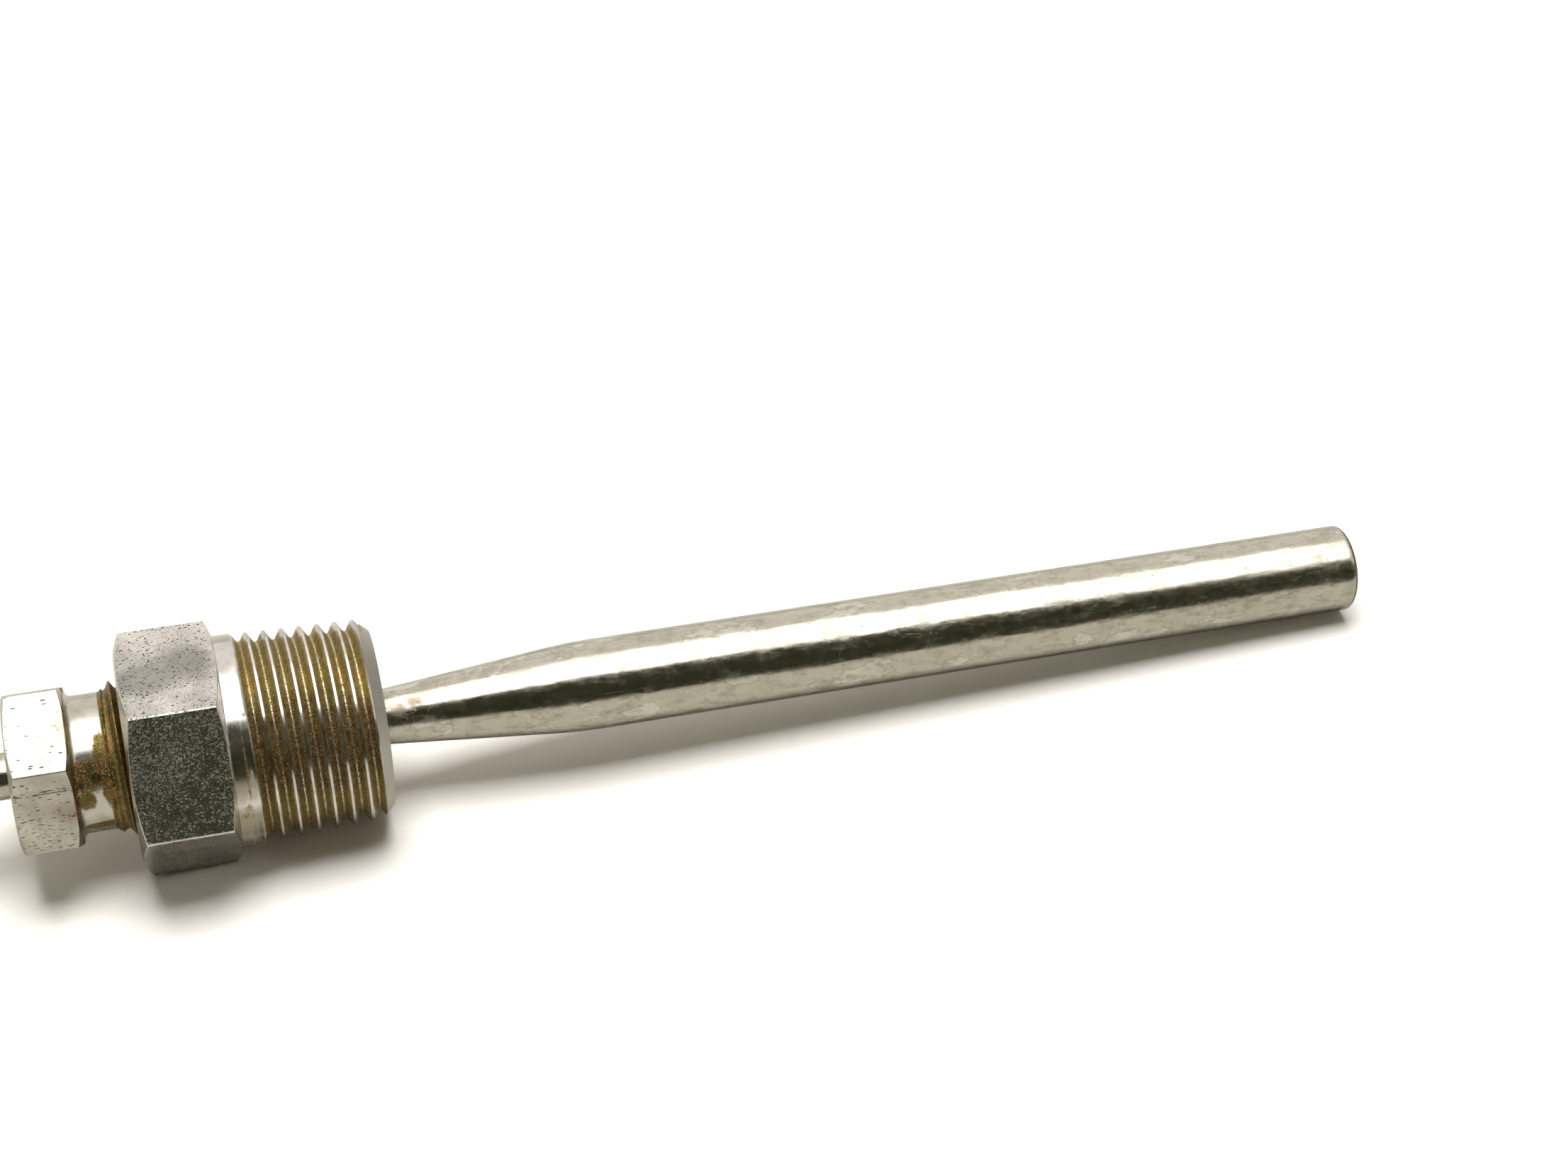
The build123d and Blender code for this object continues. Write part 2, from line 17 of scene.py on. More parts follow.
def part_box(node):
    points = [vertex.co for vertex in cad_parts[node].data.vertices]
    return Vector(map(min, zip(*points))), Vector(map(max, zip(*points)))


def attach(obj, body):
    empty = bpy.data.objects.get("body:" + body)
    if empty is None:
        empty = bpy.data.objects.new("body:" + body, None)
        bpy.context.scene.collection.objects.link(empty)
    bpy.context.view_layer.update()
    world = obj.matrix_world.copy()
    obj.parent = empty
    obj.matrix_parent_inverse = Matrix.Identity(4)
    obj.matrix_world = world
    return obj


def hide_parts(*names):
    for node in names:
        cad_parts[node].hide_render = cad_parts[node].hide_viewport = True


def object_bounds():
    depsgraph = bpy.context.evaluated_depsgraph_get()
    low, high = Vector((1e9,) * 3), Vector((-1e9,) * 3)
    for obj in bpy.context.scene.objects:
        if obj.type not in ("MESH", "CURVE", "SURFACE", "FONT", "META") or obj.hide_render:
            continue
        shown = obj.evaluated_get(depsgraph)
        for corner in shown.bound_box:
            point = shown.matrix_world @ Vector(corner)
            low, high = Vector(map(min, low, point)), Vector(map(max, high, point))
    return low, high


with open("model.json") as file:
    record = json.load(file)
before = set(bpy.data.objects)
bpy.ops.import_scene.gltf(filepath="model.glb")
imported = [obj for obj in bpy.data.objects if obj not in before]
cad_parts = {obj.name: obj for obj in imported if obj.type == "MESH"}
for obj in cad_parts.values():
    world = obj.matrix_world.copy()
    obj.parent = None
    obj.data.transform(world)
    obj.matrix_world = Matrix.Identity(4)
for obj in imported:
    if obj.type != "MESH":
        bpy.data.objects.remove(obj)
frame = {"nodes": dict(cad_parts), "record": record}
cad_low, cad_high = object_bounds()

MM = 0.001
INCH = 25.4
nodes = frame["nodes"]
scene = bpy.context.scene

# %% [markdown]
# The probe lies on two points: the lowest edge of the big hexagon's shoulder and the
# rim of the tip. So the table isn't level in the part's own frame. It slopes by the
# height between the two over their distance. Tilting the table rather than the part
# keeps every piece where the CAD says it is.

# %% Table
FITTING_FLATS = 7 / 8 * INCH
BODY_RADIUS = 3 / 16 * INCH
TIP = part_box("tip_plug")[1].x / MM
HEEL = -0.16
RIM_INSET = 0.4
heel_point = Vector((HEEL, 0, -FITTING_FLATS / 2)) * MM
toe_point = Vector((TIP - RIM_INSET, 0, -BODY_RADIUS)) * MM
along_table = (toe_point - heel_point).normalized()
table_normal = Vector((-along_table.z, 0, along_table.x))
print("table slope:", round(degrees(table_normal.angle(Vector((0, 0, 1)))), 2), "degrees")

# %% [markdown]
# The camera's place, aim and roll were worked out from the thread pitch, the hexagon
# and the tube, so the perspective is the photograph's own. A lens could be chosen by
# eye, but then the far end of a long tube has the wrong width. Blender wants the focal
# length in millimetres on its sensor, and the picture is 2212 pixels wide.

# %% Camera
PICTURE_WIDTH = 2212
FOCAL_PIXELS = 3743.2
CAMERA_PLACE = Vector((-3.64, -198.58, 193.35)) * MM
CAMERA_AIM = Vector((61.72, 10.32, 0.0)) * MM
CAMERA_ROLL = -0.66


def new_object(name, data):
    """Puts data, such as a mesh, a lamp or a camera, into the scene as an object."""
    made = bpy.data.objects.new(name, data)
    scene.collection.objects.link(made)
    return made


forward = (CAMERA_AIM - CAMERA_PLACE).normalized()
right = forward.cross(table_normal).normalized()
level = Matrix((right, right.cross(forward), -forward)).transposed()
camera_data = bpy.data.cameras.new("camera")
camera_data.sensor_width = 36.0
camera_data.lens = FOCAL_PIXELS * camera_data.sensor_width / PICTURE_WIDTH
camera_data.clip_start = 0.01
camera = new_object("camera", camera_data)
turned_level = level.to_4x4() @ Matrix.Rotation(radians(CAMERA_ROLL), 4, "Z")
camera.matrix_world = Matrix.Translation(CAMERA_PLACE) @ turned_level
scene.camera = camera
scene.view_settings.view_transform = "Standard"
print("camera: lens", round(camera_data.lens, 2), "mm, looking down",
      round(90 - degrees(forward.angle(-table_normal)), 1), "degrees")

# %% [markdown]
# Polished metal shows what stands round it, so the light is most of the look. The
# bands on the tube say what was there: a wide soft box overhead, a pale wall behind, a
# pale table below, and a dark room on the camera's side. Two square lamps stand for the
# lamps of a studio. A wide one is there for the shine alone. A smaller one lights matt
# surfaces alone, because the shadow in the picture has a short soft edge. One lamp for
# both would give either a narrow shine or a vague shadow. The rest is the world: a
# colour that depends on direction alone, with a dark patch in front. On matt surfaces
# it is weak, and weaker still from the front. The camera, and anything looked at
# through glass, sees plain white, and metal sees a wall that is nearly white.
#
# Lights and finishes are trees of nodes, and a tree is a sum written out in boxes. So
# one small class comes first. It keeps the tree and gives each kind of step a word:
# times, plus, larger, ramp, mixed. A line of code then reads like the formula.

# %% Node helpers
class Graph:
    """Short ways to add nodes to one tree. An operand is a socket or a plain value."""

    def __init__(self, tree):
        self.tree = tree

    def add(self, kind, **values):
        """Adds a node. Each value goes to the input of that name, or to the setting."""
        node = self.tree.nodes.new("ShaderNode" + kind)
        for name, value in values.items():
            if name in node.inputs:
                self.give(value, node.inputs[name])
            else:
                setattr(node, name, value)
        return node

    def give(self, operand, target):
        """Writes a plain value into an input, or links a socket to it.

        A plain colour is three numbers, or one number for a grey.
        """
        if not isinstance(operand, (int, float, tuple)):
            self.tree.links.new(operand, target)
        elif target.type == "RGBA":
            colour = operand if isinstance(operand, tuple) else (operand,) * 3
            target.default_value = colour + (1,)
        else:
            target.default_value = operand

    def maths(self, operation, first, second=0.0, clamp=False):
        """One Math node."""
        node = self.add("Math", operation=operation, use_clamp=clamp)
        self.give(first, node.inputs[0])
        self.give(second, node.inputs[1])
        return node.outputs[0]

    def times(self, first, second):
        return self.maths("MULTIPLY", first, second)

    def plus(self, first, second):
        return self.maths("ADD", first, second)

    def minus(self, first, second):
        return self.maths("SUBTRACT", first, second)

    def larger(self, first, second):
        return self.maths("MAXIMUM", first, second)

    def less(self, value, factor=1.0):
        """One less a share of the value."""
        return self.maths("SUBTRACT", 1.0, self.times(value, factor), clamp=True)

    def ramp(self, value, low, high, to_low=0.0, to_high=1.0):
        """A smooth step: value from low to high becomes to_low to to_high."""
        node = self.add("MapRange", interpolation_type="SMOOTHSTEP")
        for operand, name in ((value, "Value"), (low, "From Min"), (high, "From Max"),
                              (to_low, "To Min"), (to_high, "To Max")):
            self.give(operand, node.inputs[name])
        return node.outputs["Result"]

    def spread(self, value, to_low=0.0, to_high=1.0):
        """The same for a cloudy noise, whose values mostly lie in NOISE_RANGE."""
        return self.ramp(value, *NOISE_RANGE, to_low, to_high)

    def mixed(self, factor, first, second):
        """Mixes two colours."""
        node = self.add("Mix", data_type="RGBA")
        for operand, place in ((factor, 0), (first, 6), (second, 7)):
            self.give(operand, node.inputs[place])
        return node.outputs[2]

    def layered(self, colour, *layers):
        """Lays tints over a colour, one after another. A layer is (mask, share, tint)."""
        for mask, share, tint in layers:
            colour = self.mixed(self.times(mask, share), colour, tint)
        return colour

    def dot(self, vector, direction):
        """How far a vector goes in a fixed direction."""
        node = self.add("VectorMath", operation="DOT_PRODUCT")
        self.give(vector, node.inputs[0])
        self.give(direction, node.inputs[1])
        return node.outputs["Value"]

    def parts(self, vector):
        """The three coordinates of a vector."""
        node = self.add("SeparateXYZ")
        self.give(vector, node.inputs[0])
        return node.outputs


NOISE_RANGE = 0.3, 0.7
WHITE = 1.0


def looked_at(graph):
    """One for what the camera sees, directly or through glass, and zero for the rest."""
    path = graph.add("LightPath").outputs
    return graph.larger(path["Is Camera Ray"], path["Is Transmission Ray"])


print("node helpers ready")

# %% Light
LAMP_HEIGHT = 0.60
SHINE_LENGTH, SHINE_WIDTH, SHINE_RADIANCE = 0.66, 0.60, 2.1
SHINE_MIDDLE = Vector((0.10, 0.02, LAMP_HEIGHT))
FILL_SIDE, FILL_RADIANCE = 0.34, 9.4
FILL_MIDDLE = Vector((0.03, 0.02, LAMP_HEIGHT))
PATCH_HEIGHT, PATCH_INNER, PATCH_OUTER = radians(30), radians(33), radians(38)
ROOM_DARK = (0.042, 0.042, 0.022)
ROOM_PALE = (1.0, 0.965, 0.90)
ROOM_SIDE = (0.46, 0.44, 0.40)
SIDE_RANGE = 0.35, 0.85
BACK_ON_MATT, FRONT_ON_MATT = 0.42, 0.04
BACK_RANGE = -0.2, 0.5


def soft_box(name, length, width, radiance, middle):
    """An area lamp over the part. Its power is radiance times pi times its area."""
    data = bpy.data.lights.new(name, "AREA")
    data.shape = "RECTANGLE"
    data.size = length
    data.size_y = width
    data.energy = radiance * pi * length * width
    lamp = new_object(name, data)
    lamp.location = middle
    return lamp


shine_lamp = soft_box("shine_box", SHINE_LENGTH, SHINE_WIDTH, SHINE_RADIANCE, SHINE_MIDDLE)
shine_lamp.visible_diffuse = False
fill_lamp = soft_box("fill_box", FILL_SIDE, FILL_SIDE, FILL_RADIANCE, FILL_MIDDLE)
fill_lamp.visible_glossy = False

world = bpy.data.worlds.new("room")
scene.world = world
world.use_nodes = True
world.node_tree.nodes.clear()
graph = Graph(world.node_tree)
direction = graph.add("TexCoord").outputs["Generated"]
rightwards, backwards = graph.parts(direction)[:2]
towards_patch = graph.dot(direction, (0, -cos(PATCH_HEIGHT), sin(PATCH_HEIGHT)))
in_patch = graph.ramp(towards_patch, cos(PATCH_OUTER), cos(PATCH_INNER))
wall = graph.mixed(graph.ramp(rightwards, *SIDE_RANGE), ROOM_PALE, ROOM_SIDE)
room_colour = graph.mixed(in_patch, wall, ROOM_DARK)
room = graph.add("Background")
graph.give(graph.mixed(looked_at(graph), room_colour, WHITE), room.inputs["Color"])
on_matt = graph.ramp(backwards, *BACK_RANGE, FRONT_ON_MATT, BACK_ON_MATT)
diffuse_ray = graph.add("LightPath").outputs["Is Diffuse Ray"]
graph.give(graph.mixed(diffuse_ray, WHITE, on_matt), room.inputs["Strength"])
graph.give(room.outputs[0], graph.add("OutputWorld").inputs["Surface"])
print("light: a shine box", SHINE_LENGTH, "by", SHINE_WIDTH, "m and a fill box", FILL_SIDE, "m square")

# %% [markdown]
# The table is one large sheet. The picture was exposed so that the table burns out to
# white, but the metal mirrors a table that is only pale. So the table has two colours:
# the camera sees a very bright one, which keeps the shadow, and everything else sees
# the pale one. A little glow for the camera alone keeps the far edges white, because
# the lamp is small and near. It starts well away from the part.

# %% Table sheet
TABLE_SIDE = 3.0
TABLE_TRUE = (0.83, 0.80, 0.72)
TABLE_SEEN = (1.40, 1.36, 1.28)
TABLE_GLOW = 1.0
GLOW_FROM, GLOW_FULL = 0.06, 0.35

table_mesh = bpy.data.meshes.new("table")
half_side = TABLE_SIDE / 2
across_table = Vector((0, 1, 0))
table_middle = (heel_point + toe_point) / 2
corners = [table_middle + along_table * a * half_side + across_table * b * half_side
           for a, b in ((-1, -1), (1, -1), (1, 1), (-1, 1))]
table_mesh.from_pydata(corners, [], [(0, 1, 2, 3)])
table = new_object("table", table_mesh)

table_paint = bpy.data.materials.new("table_white")
table_paint.use_nodes = True
table_paint.node_tree.nodes.clear()
graph = Graph(table_paint.node_tree)
seen = looked_at(graph)
paint = graph.add("BsdfDiffuse")
graph.give(graph.mixed(seen, TABLE_TRUE, TABLE_SEEN), paint.inputs["Color"])
glow = graph.add("Emission", Color=WHITE)
along, aside = graph.parts(graph.add("TexCoord").outputs["Object"])[:2]
part_middle, part_half = (cad_high.x + cad_low.x) / 2, (cad_high.x - cad_low.x) / 2
beyond = graph.minus(graph.maths("ABSOLUTE", graph.minus(along, part_middle)), part_half)
away = graph.larger(graph.maths("ABSOLUTE", aside), beyond)
far = graph.ramp(away, GLOW_FROM, GLOW_FULL, 0.0, TABLE_GLOW)
graph.give(graph.times(seen, far), glow.inputs["Strength"])
both = graph.add("AddShader")
graph.give(paint.outputs[0], both.inputs[0])
graph.give(glow.outputs[0], both.inputs[1])
graph.give(both.outputs[0], graph.add("OutputMaterial").inputs["Surface"])
table_mesh.materials.append(table_paint)
print("table sheet:", TABLE_SIDE, "m square")

# %% [markdown]
# Most of this object is turned on a lathe, so a surface is an outline of radius over
# length, carried round the X axis. A hexagon fits the same scheme: its radius depends
# on the angle. So does a thread: its radius depends on both. The three could be cut
# with booleans from separate solids, but one grid of points gives clean shading, has
# no seams, and lets a value such as rust ride on the same grid.

# %% Grid helpers
SHARP_ANGLE = 38
CORNER_POWER = 200
LONGEST_REACH = 0.22
MERGE_PER_METRE = 1e8


def mesh_from_grid(name, places, radii, angles, wrap_steps, values=None):
    """Makes a closed mesh from rows round the X axis.

    Point (i, j) is (places[i, j], radii[i, j] cos(angles[j]), radii[i, j] sin(angles[j])).
    Row i goes on, after its last column, at the first column of row i + wrap_steps[i].
    Points in one place become one point, and faces that shrink to nothing are dropped.
    """
    rows, columns = places.shape
    points = np.stack([places, radii * np.cos(angles), radii * np.sin(angles)], axis=-1)
    points = points.reshape(-1, 3) * MM
    index = np.arange(rows * columns).reshape(rows, columns)
    after = np.roll(index, -1, axis=1)
    after[:, -1] = index[np.arange(rows) + wrap_steps, 0]
    quads = np.stack([index[:-1], after[:-1], after[1:], index[1:]], axis=-1).reshape(-1, 4)
    triangles = np.concatenate([quads[:, [0, 1, 2]], quads[:, [0, 2, 3]]])
    merged = np.unique(np.round(points * MERGE_PER_METRE).astype(np.int64), axis=0,
                       return_index=True, return_inverse=True)
    first, place_of = merged[1:]
    triangles = place_of.reshape(-1)[triangles]
    a, b, c = triangles.T
    triangles = triangles[(a != b) & (b != c) & (c != a)]
    mesh = bpy.data.meshes.new(name)
    mesh.vertices.add(len(first))
    mesh.vertices.foreach_set("co", points[first].astype(np.float32).ravel())
    mesh.loops.add(triangles.size)
    mesh.loops.foreach_set("vertex_index", triangles.astype(np.int32).ravel())
    mesh.polygons.add(len(triangles))
    mesh.polygons.foreach_set("loop_start", np.arange(0, triangles.size, 3, dtype=np.int32))
    mesh.update(calc_edges=True)
    for label, grid in (values or {}).items():
        layer = mesh.attributes.new(label, "FLOAT", "POINT")
        layer.data.foreach_set("value", grid.reshape(-1)[first].astype(np.float32))
    mesh.polygons.foreach_set("use_smooth", np.ones(len(triangles), bool))
    mesh.set_sharp_from_angle(angle=radians(SHARP_ANGLE))
    return mesh


def softened(outline, columns):
    """Rounds the corners of an outline, for all its columns at once.

    outline is a list of (place, radius, reach), each a number or a row over the
    columns. A corner with a reach becomes five points: two on each side, at one and
    two reaches along the outline, and one half way from the corner to its chord.
    """
    line = np.stack([np.stack([np.broadcast_to(value, columns) for value in corner[:2]], axis=-1)
                     for corner in outline]).astype(float)
    rows = [line[0]]
    for i in range(1, len(outline) - 1):
        reach = outline[i][2]
        if reach == 0:
            rows.append(line[i])
            continue
        steps = []
        for neighbour in (line[i - 1], line[i + 1]):
            run = neighbour - line[i]
            length = np.maximum(np.linalg.norm(run, axis=-1, keepdims=True), 1e-9)
            steps.append(run / length * np.minimum(reach, LONGEST_REACH * length))
        back, on = steps
        rows += [line[i] + 2 * back, line[i] + back, line[i] + (back + on) / 4,
                 line[i] + on, line[i] + 2 * on]
    rows.append(line[-1])
    rows = np.stack(rows)
    return rows[..., 0], rows[..., 1]


def hexagon_radius(flats, angles, first_corner):
    """Radius of a hexagon over the angle, with slightly rounded corners.

    Six flats stand at half the width across flats. The radius is one over the sum of
    their shares cos(angle) / distance, each raised to a high power, so that the
    nearest flat wins and two flats blend softly in a corner.
    """
    normals = radians(first_corner) + radians(30) + np.arange(6) * radians(60)
    shares = np.maximum(np.cos(angles[:, None] - normals), 0) / (flats / 2)
    return (shares ** CORNER_POWER).sum(axis=1) ** (-1 / CORNER_POWER)


print("grid helpers ready")

# %% [markdown]
# The columns of a grid with a hexagon are not all the same width. A hexagon needs
# close columns only where its corners are rounded, a quarter of a degree apart, and a
# thread needs even ones all the way round. So the even columns get a few more at each
# corner, and both the hexagon and the thread of one piece use the same set.

# %% Columns
PLAIN_COLUMNS = 300
CORNER_COLUMNS = np.radians([-1.4, -0.9, -0.6, -0.3, 0.0, 0.3, 0.6, 0.9, 1.4])


def hexagon_columns(first_corner):
    """Angles of the grid's columns: even ones, and close ones at each corner."""
    corners = radians(first_corner) + np.arange(6) * radians(60)
    even = np.linspace(0, 2 * pi, PLAIN_COLUMNS, endpoint=False)
    close = (corners[:, None] + CORNER_COLUMNS).ravel() % (2 * pi)
    return np.unique(np.round(np.concatenate([even, close]), 6))


fitting_angles = hexagon_columns(0.0)
print("columns on the fitting:", len(fitting_angles))

# %% [markdown]
# A thread is a ridge that climbs by one pitch a turn. On a plain grid its crest would
# cross the rows and look like a fine staircase. Here the rows themselves climb with
# the helix, so a crest is one clean line of points. After a full turn a row arrives
# one pitch further on, where another row starts, and the two are joined. Rows that
# would leave the threaded length are held at its ends, where they fall together.

# %% Thread helpers
ROOT_SHARPNESS = 11


def climbing_rows(left, right, pitch, angles, phase, offsets):
    """Rows that climb by one pitch a turn, held between left and right.

    offsets are the rows of one pitch, measured from a crest, and phase is the place of
    a crest at angle zero, in pitches. Returns places and the rows in one pitch.
    """
    turns = np.arange(-2, int((right - left) / pitch) + 2)
    start = left + ((phase * pitch - left) % pitch)
    rows = (start + turns[:, None] * pitch + offsets[None, :]).ravel()
    rows = rows[rows > left - pitch - 1e-6]
    climbed = rows[:, None] + pitch * angles[None, :] / (2 * pi)
    return np.clip(climbed, left, right), len(offsets)


def groove_depth(places, angles, pitch, phase, crest, depth):
    """How far the thread lies under its crest line: 60 degree flanks and a round root.

    The flank drops by the square root of three for each unit along the axis, and a
    soft minimum of that drop and the full depth rounds the root.
    """
    turns = places / pitch - phase - angles[None, :] / (2 * pi)
    from_crest = np.abs(turns - np.round(turns)) * pitch
    drop = np.maximum(from_crest - crest, 0) * 3 ** 0.5
    sharpness = ROOT_SHARPNESS / depth
    return -np.log(np.exp(-sharpness * drop) + np.exp(-sharpness * depth)) / sharpness


def smooth(low, high, value):
    """Zero below low, one above high, and a smooth step between."""
    t = np.clip((value - low) / (high - low), 0, 1)
    return t * t * (3 - 2 * t)


def threaded_rows(outside, inside, angles, thread, climb, steps):
    """All rows of a threaded piece: its outside, its climbing thread, and its bore.

    thread gives the radius over places and angles. The result is places, radii, which
    rows are threaded, and how many rows on each row arrives after a full turn: steps
    in the thread, and none elsewhere.
    """
    front_places, front_radii = softened(outside, len(angles))
    back_places, back_radii = softened(inside, len(angles))
    places = np.concatenate([front_places, climb, back_places])
    radii = np.concatenate([front_radii, thread(climb, angles), back_radii])
    rows = np.arange(len(places))
    threaded = (rows >= len(front_places)) & (rows < len(front_places) + len(climb))
    last = rows[threaded].max()
    return places, radii, threaded, np.where(threaded, np.minimum(rows + steps, last) - rows, 0)


print("thread helpers ready")

# %% [markdown]
# The fitting is a bar of hexagon steel, turned down for the pipe thread. A cone takes
# its corners off at both ends, so each flat ends in a shallow arc. Then come a bright
# neck, seven turns of tapered thread, and a wide lead-in. Inside are the mouth for the
# gland, the packing chamber and the way for the stem, at the sizes of the CAD node.

# %% Fitting shape
FITTING_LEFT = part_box("process_fitting")[0].x / MM
THREAD_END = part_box("process_fitting")[1].x / MM
FACE_SHARE = 0.96
CORNER_CONE = 20.0
FLAT_EDGE, ON_FLAT = 0.05, 0.01
NECK_RADIUS = 10.86
PIPE_PITCH = INCH / 14
PIPE_TAPER = 1 / 32
PIPE_END_RADIUS = 10.37
PIPE_LEAD_IN = 1.2
PIPE_LEAD_SLOPE = 0.92
PIPE_DEPTH = 1.08
PIPE_CREST = 0.12
PIPE_PHASE = 0.66
PIPE_LEFT, PIPE_FULL = 1.15, 2.9
NECK_END = PIPE_LEFT + 0.55
PIPE_FADE, PIPE_GONE = 14.55, 15.1
OFFSET_PITCH = 1.8143
PIPE_OFFSETS = np.array([-0.907, -0.82, -0.74, -0.66, -0.54, -0.40, -0.26, -0.12,
                         0.12, 0.26, 0.40, 0.54, 0.66, 0.74, 0.82]) * PIPE_PITCH / OFFSET_PITCH
BORE = {"mouth": 8.7175, "gland": 8.0175, "chamber": 7.2, "way": 2.68125, "outlet": 3.4}
CHAMBER_LEFT, CHAMBER_RIGHT, OUTLET_LEFT = -2.5, 8.3, 10.6
PIPE_RUST_IN, PIPE_RUST_OUT, PIPE_RUST_GROWTH = (0.07, 0.22), (0.72, 0.92), (0.1, 0.55)
ROOT_PHASE, ROOT_WIDTH = 0.50, 0.035
LEAD_EDGE = 0.06
HEXAGON_REACH, NECK_REACH, OUTLET_REACH = 0.10, 0.06, 0.1


def hexagon_outline(flats, face_share, left, right, angles, first_corner, reach):
    """Outline of a hexagon bar with coned ends, from the left face to the right one.

    The cone leaves the end face at face_share of the flat's distance, and meets the
    hexagon after a drop of (radius over the angle - face radius) times the cone's slope.
    """
    radius = hexagon_radius(flats, angles, first_corner)
    face = face_share * flats / 2
    drop = (radius - face) * tan(radians(CORNER_CONE))
    return [(left, face, reach), (left + drop, radius, reach),
            (right - drop, radius, reach)], face


def on_flats(places, radii, flats, face_share, left, right, angles, first_corner):
    """One on the hexagon's flats, zero on its cones and on everything turned."""
    radius = hexagon_radius(flats, angles, first_corner)
    drop = (radius - face_share * flats / 2) * tan(radians(CORNER_CONE))
    from_left = smooth(-FLAT_EDGE, FLAT_EDGE, places - left - drop)
    from_right = smooth(-FLAT_EDGE, FLAT_EDGE, right - drop - places)
    return from_left * from_right * (radii > radius - ON_FLAT)


def lead_in_radius(places):
    """Radius of the cone that leads the thread in."""
    return PIPE_END_RADIUS - PIPE_LEAD_IN + PIPE_LEAD_SLOPE * (THREAD_END - places)


def pipe_thread(places, angles):
    """Radius of the tapered thread: crest line, less the groove, cut by the lead-in."""
    crest = PIPE_END_RADIUS + (THREAD_END - places) * PIPE_TAPER
    crest = np.where(places < NECK_END, NECK_RADIUS, crest)
    growth = smooth(PIPE_LEFT, PIPE_FULL, places) * (1 - smooth(PIPE_FADE, PIPE_GONE, places))
    depth = groove_depth(places, angles, PIPE_PITCH, PIPE_PHASE, PIPE_CREST, PIPE_DEPTH)
    return np.minimum(crest - growth * depth, lead_in_radius(places))


def fitting_rows():
    """All rows of the fitting, outside and then inside, with their wrap steps."""
    hexagon, face = hexagon_outline(FITTING_FLATS, FACE_SHARE, FITTING_LEFT, 0.0,
                                    fitting_angles, 0.0, HEXAGON_REACH)
    cone_end = -(NECK_RADIUS - face) * tan(radians(CORNER_CONE))
    outside = [(FITTING_LEFT, BORE["mouth"], 0.0)] + hexagon + [
        (cone_end, NECK_RADIUS, NECK_REACH), (PIPE_LEFT, NECK_RADIUS, 0.0)]
    inside = [
        (THREAD_END, PIPE_END_RADIUS - PIPE_LEAD_IN, 0.0),
        (THREAD_END, BORE["outlet"], OUTLET_REACH),
        (OUTLET_LEFT, BORE["way"], 0.0), (CHAMBER_RIGHT, BORE["way"], 0.0),
        (CHAMBER_RIGHT, BORE["chamber"], 0.0), (CHAMBER_LEFT, BORE["chamber"], 0.0),
        (CHAMBER_LEFT, BORE["gland"], 0.0),
        (FITTING_LEFT + BORE["mouth"] - BORE["gland"], BORE["gland"], 0.0),
        (FITTING_LEFT, BORE["mouth"], 0.0)]
    climb = climbing_rows(PIPE_LEFT, THREAD_END, PIPE_PITCH, fitting_angles, PIPE_PHASE, PIPE_OFFSETS)
    return threaded_rows(outside, inside, fitting_angles, pipe_thread, *climb)


places, radii, threaded, steps = fitting_rows()
phase = (places / PIPE_PITCH - PIPE_PHASE - fitting_angles / (2 * pi)) % 1.0
growth = smooth(PIPE_LEFT, PIPE_FULL, places) * threaded[:, None]
in_lead = threaded[:, None] * smooth(-LEAD_EDGE, 0.0, radii - lead_in_radius(places))
rusty_run = smooth(*PIPE_RUST_IN, phase) * (1 - smooth(*PIPE_RUST_OUT, phase))
values = {
    "rust": rusty_run * smooth(*PIPE_RUST_GROWTH, growth) * (1 - in_lead),
    "root": np.exp(-((phase - ROOT_PHASE) / ROOT_WIDTH) ** 2) * growth * (1 - in_lead),
    "lead": in_lead,
    "flat": on_flats(places, radii, FITTING_FLATS, FACE_SHARE, FITTING_LEFT, 0.0,
                     fitting_angles, 0.0),
}
fitting_mesh = mesh_from_grid("fitting_body", places, radii, fitting_angles, steps, values)
fitting = new_object("fitting_body", fitting_mesh)
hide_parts("process_fitting")
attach(fitting, "fitting")
print("fitting:", len(fitting_mesh.polygons), "triangles")

# %% [markdown]
# The gland nut is made the same way: a smaller hexagon, turned by the angle at which
# it was tightened, a neck with a small fillet at its root, and a fine thread that
# begins with a low bead where the tool ran out. Most of the thread is in the fitting,
# but it shows when the nut is undone.

# %% Gland shape
GLAND_FLATS = 5 / 8 * INCH
GLAND_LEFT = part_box("gland_nut")[0].x / MM
GLAND_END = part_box("gland_nut")[1].x / MM
GLAND_WIDTH = 6.1
GLAND_RIGHT = GLAND_LEFT + GLAND_WIDTH
GLAND_TURN = 18.3
GLAND_FACE_SHARE = 0.97
GLAND_NECK = 7.0
GLAND_FILLET = 0.6
GLAND_PITCH = INCH / 18
GLAND_CREST_RADIUS = 7.9375
GLAND_DEPTH = 0.78
GLAND_CREST = 0.05
GLAND_PHASE = 0.17
GLAND_THREAD_LEFT = -12.1
GLAND_GROWTH = GLAND_THREAD_LEFT + 0.15, GLAND_THREAD_LEFT + 1.15
BEAD_PLACE, BEAD_HEIGHT, BEAD_WIDTH = -11.72, 0.26, 0.13
GLAND_RUST_IN, GLAND_RUST_OUT = (0.04, 0.10), (0.80, 0.95)
BEAD_RUST, BEAD_RUST_FROM = 0.9, (-12.25, -11.9)
EDGE_INSET, EDGE_WIDTH = 0.12, 0.10
GLAND_HEXAGON_REACH, GLAND_EDGE_REACH = 0.07, 0.05
GLAND_OFFSETS = np.array([-0.70, -0.60, -0.52, -0.45, -0.35, -0.25, -0.15, -0.05,
                          0.05, 0.15, 0.25, 0.35, 0.45, 0.52, 0.60])


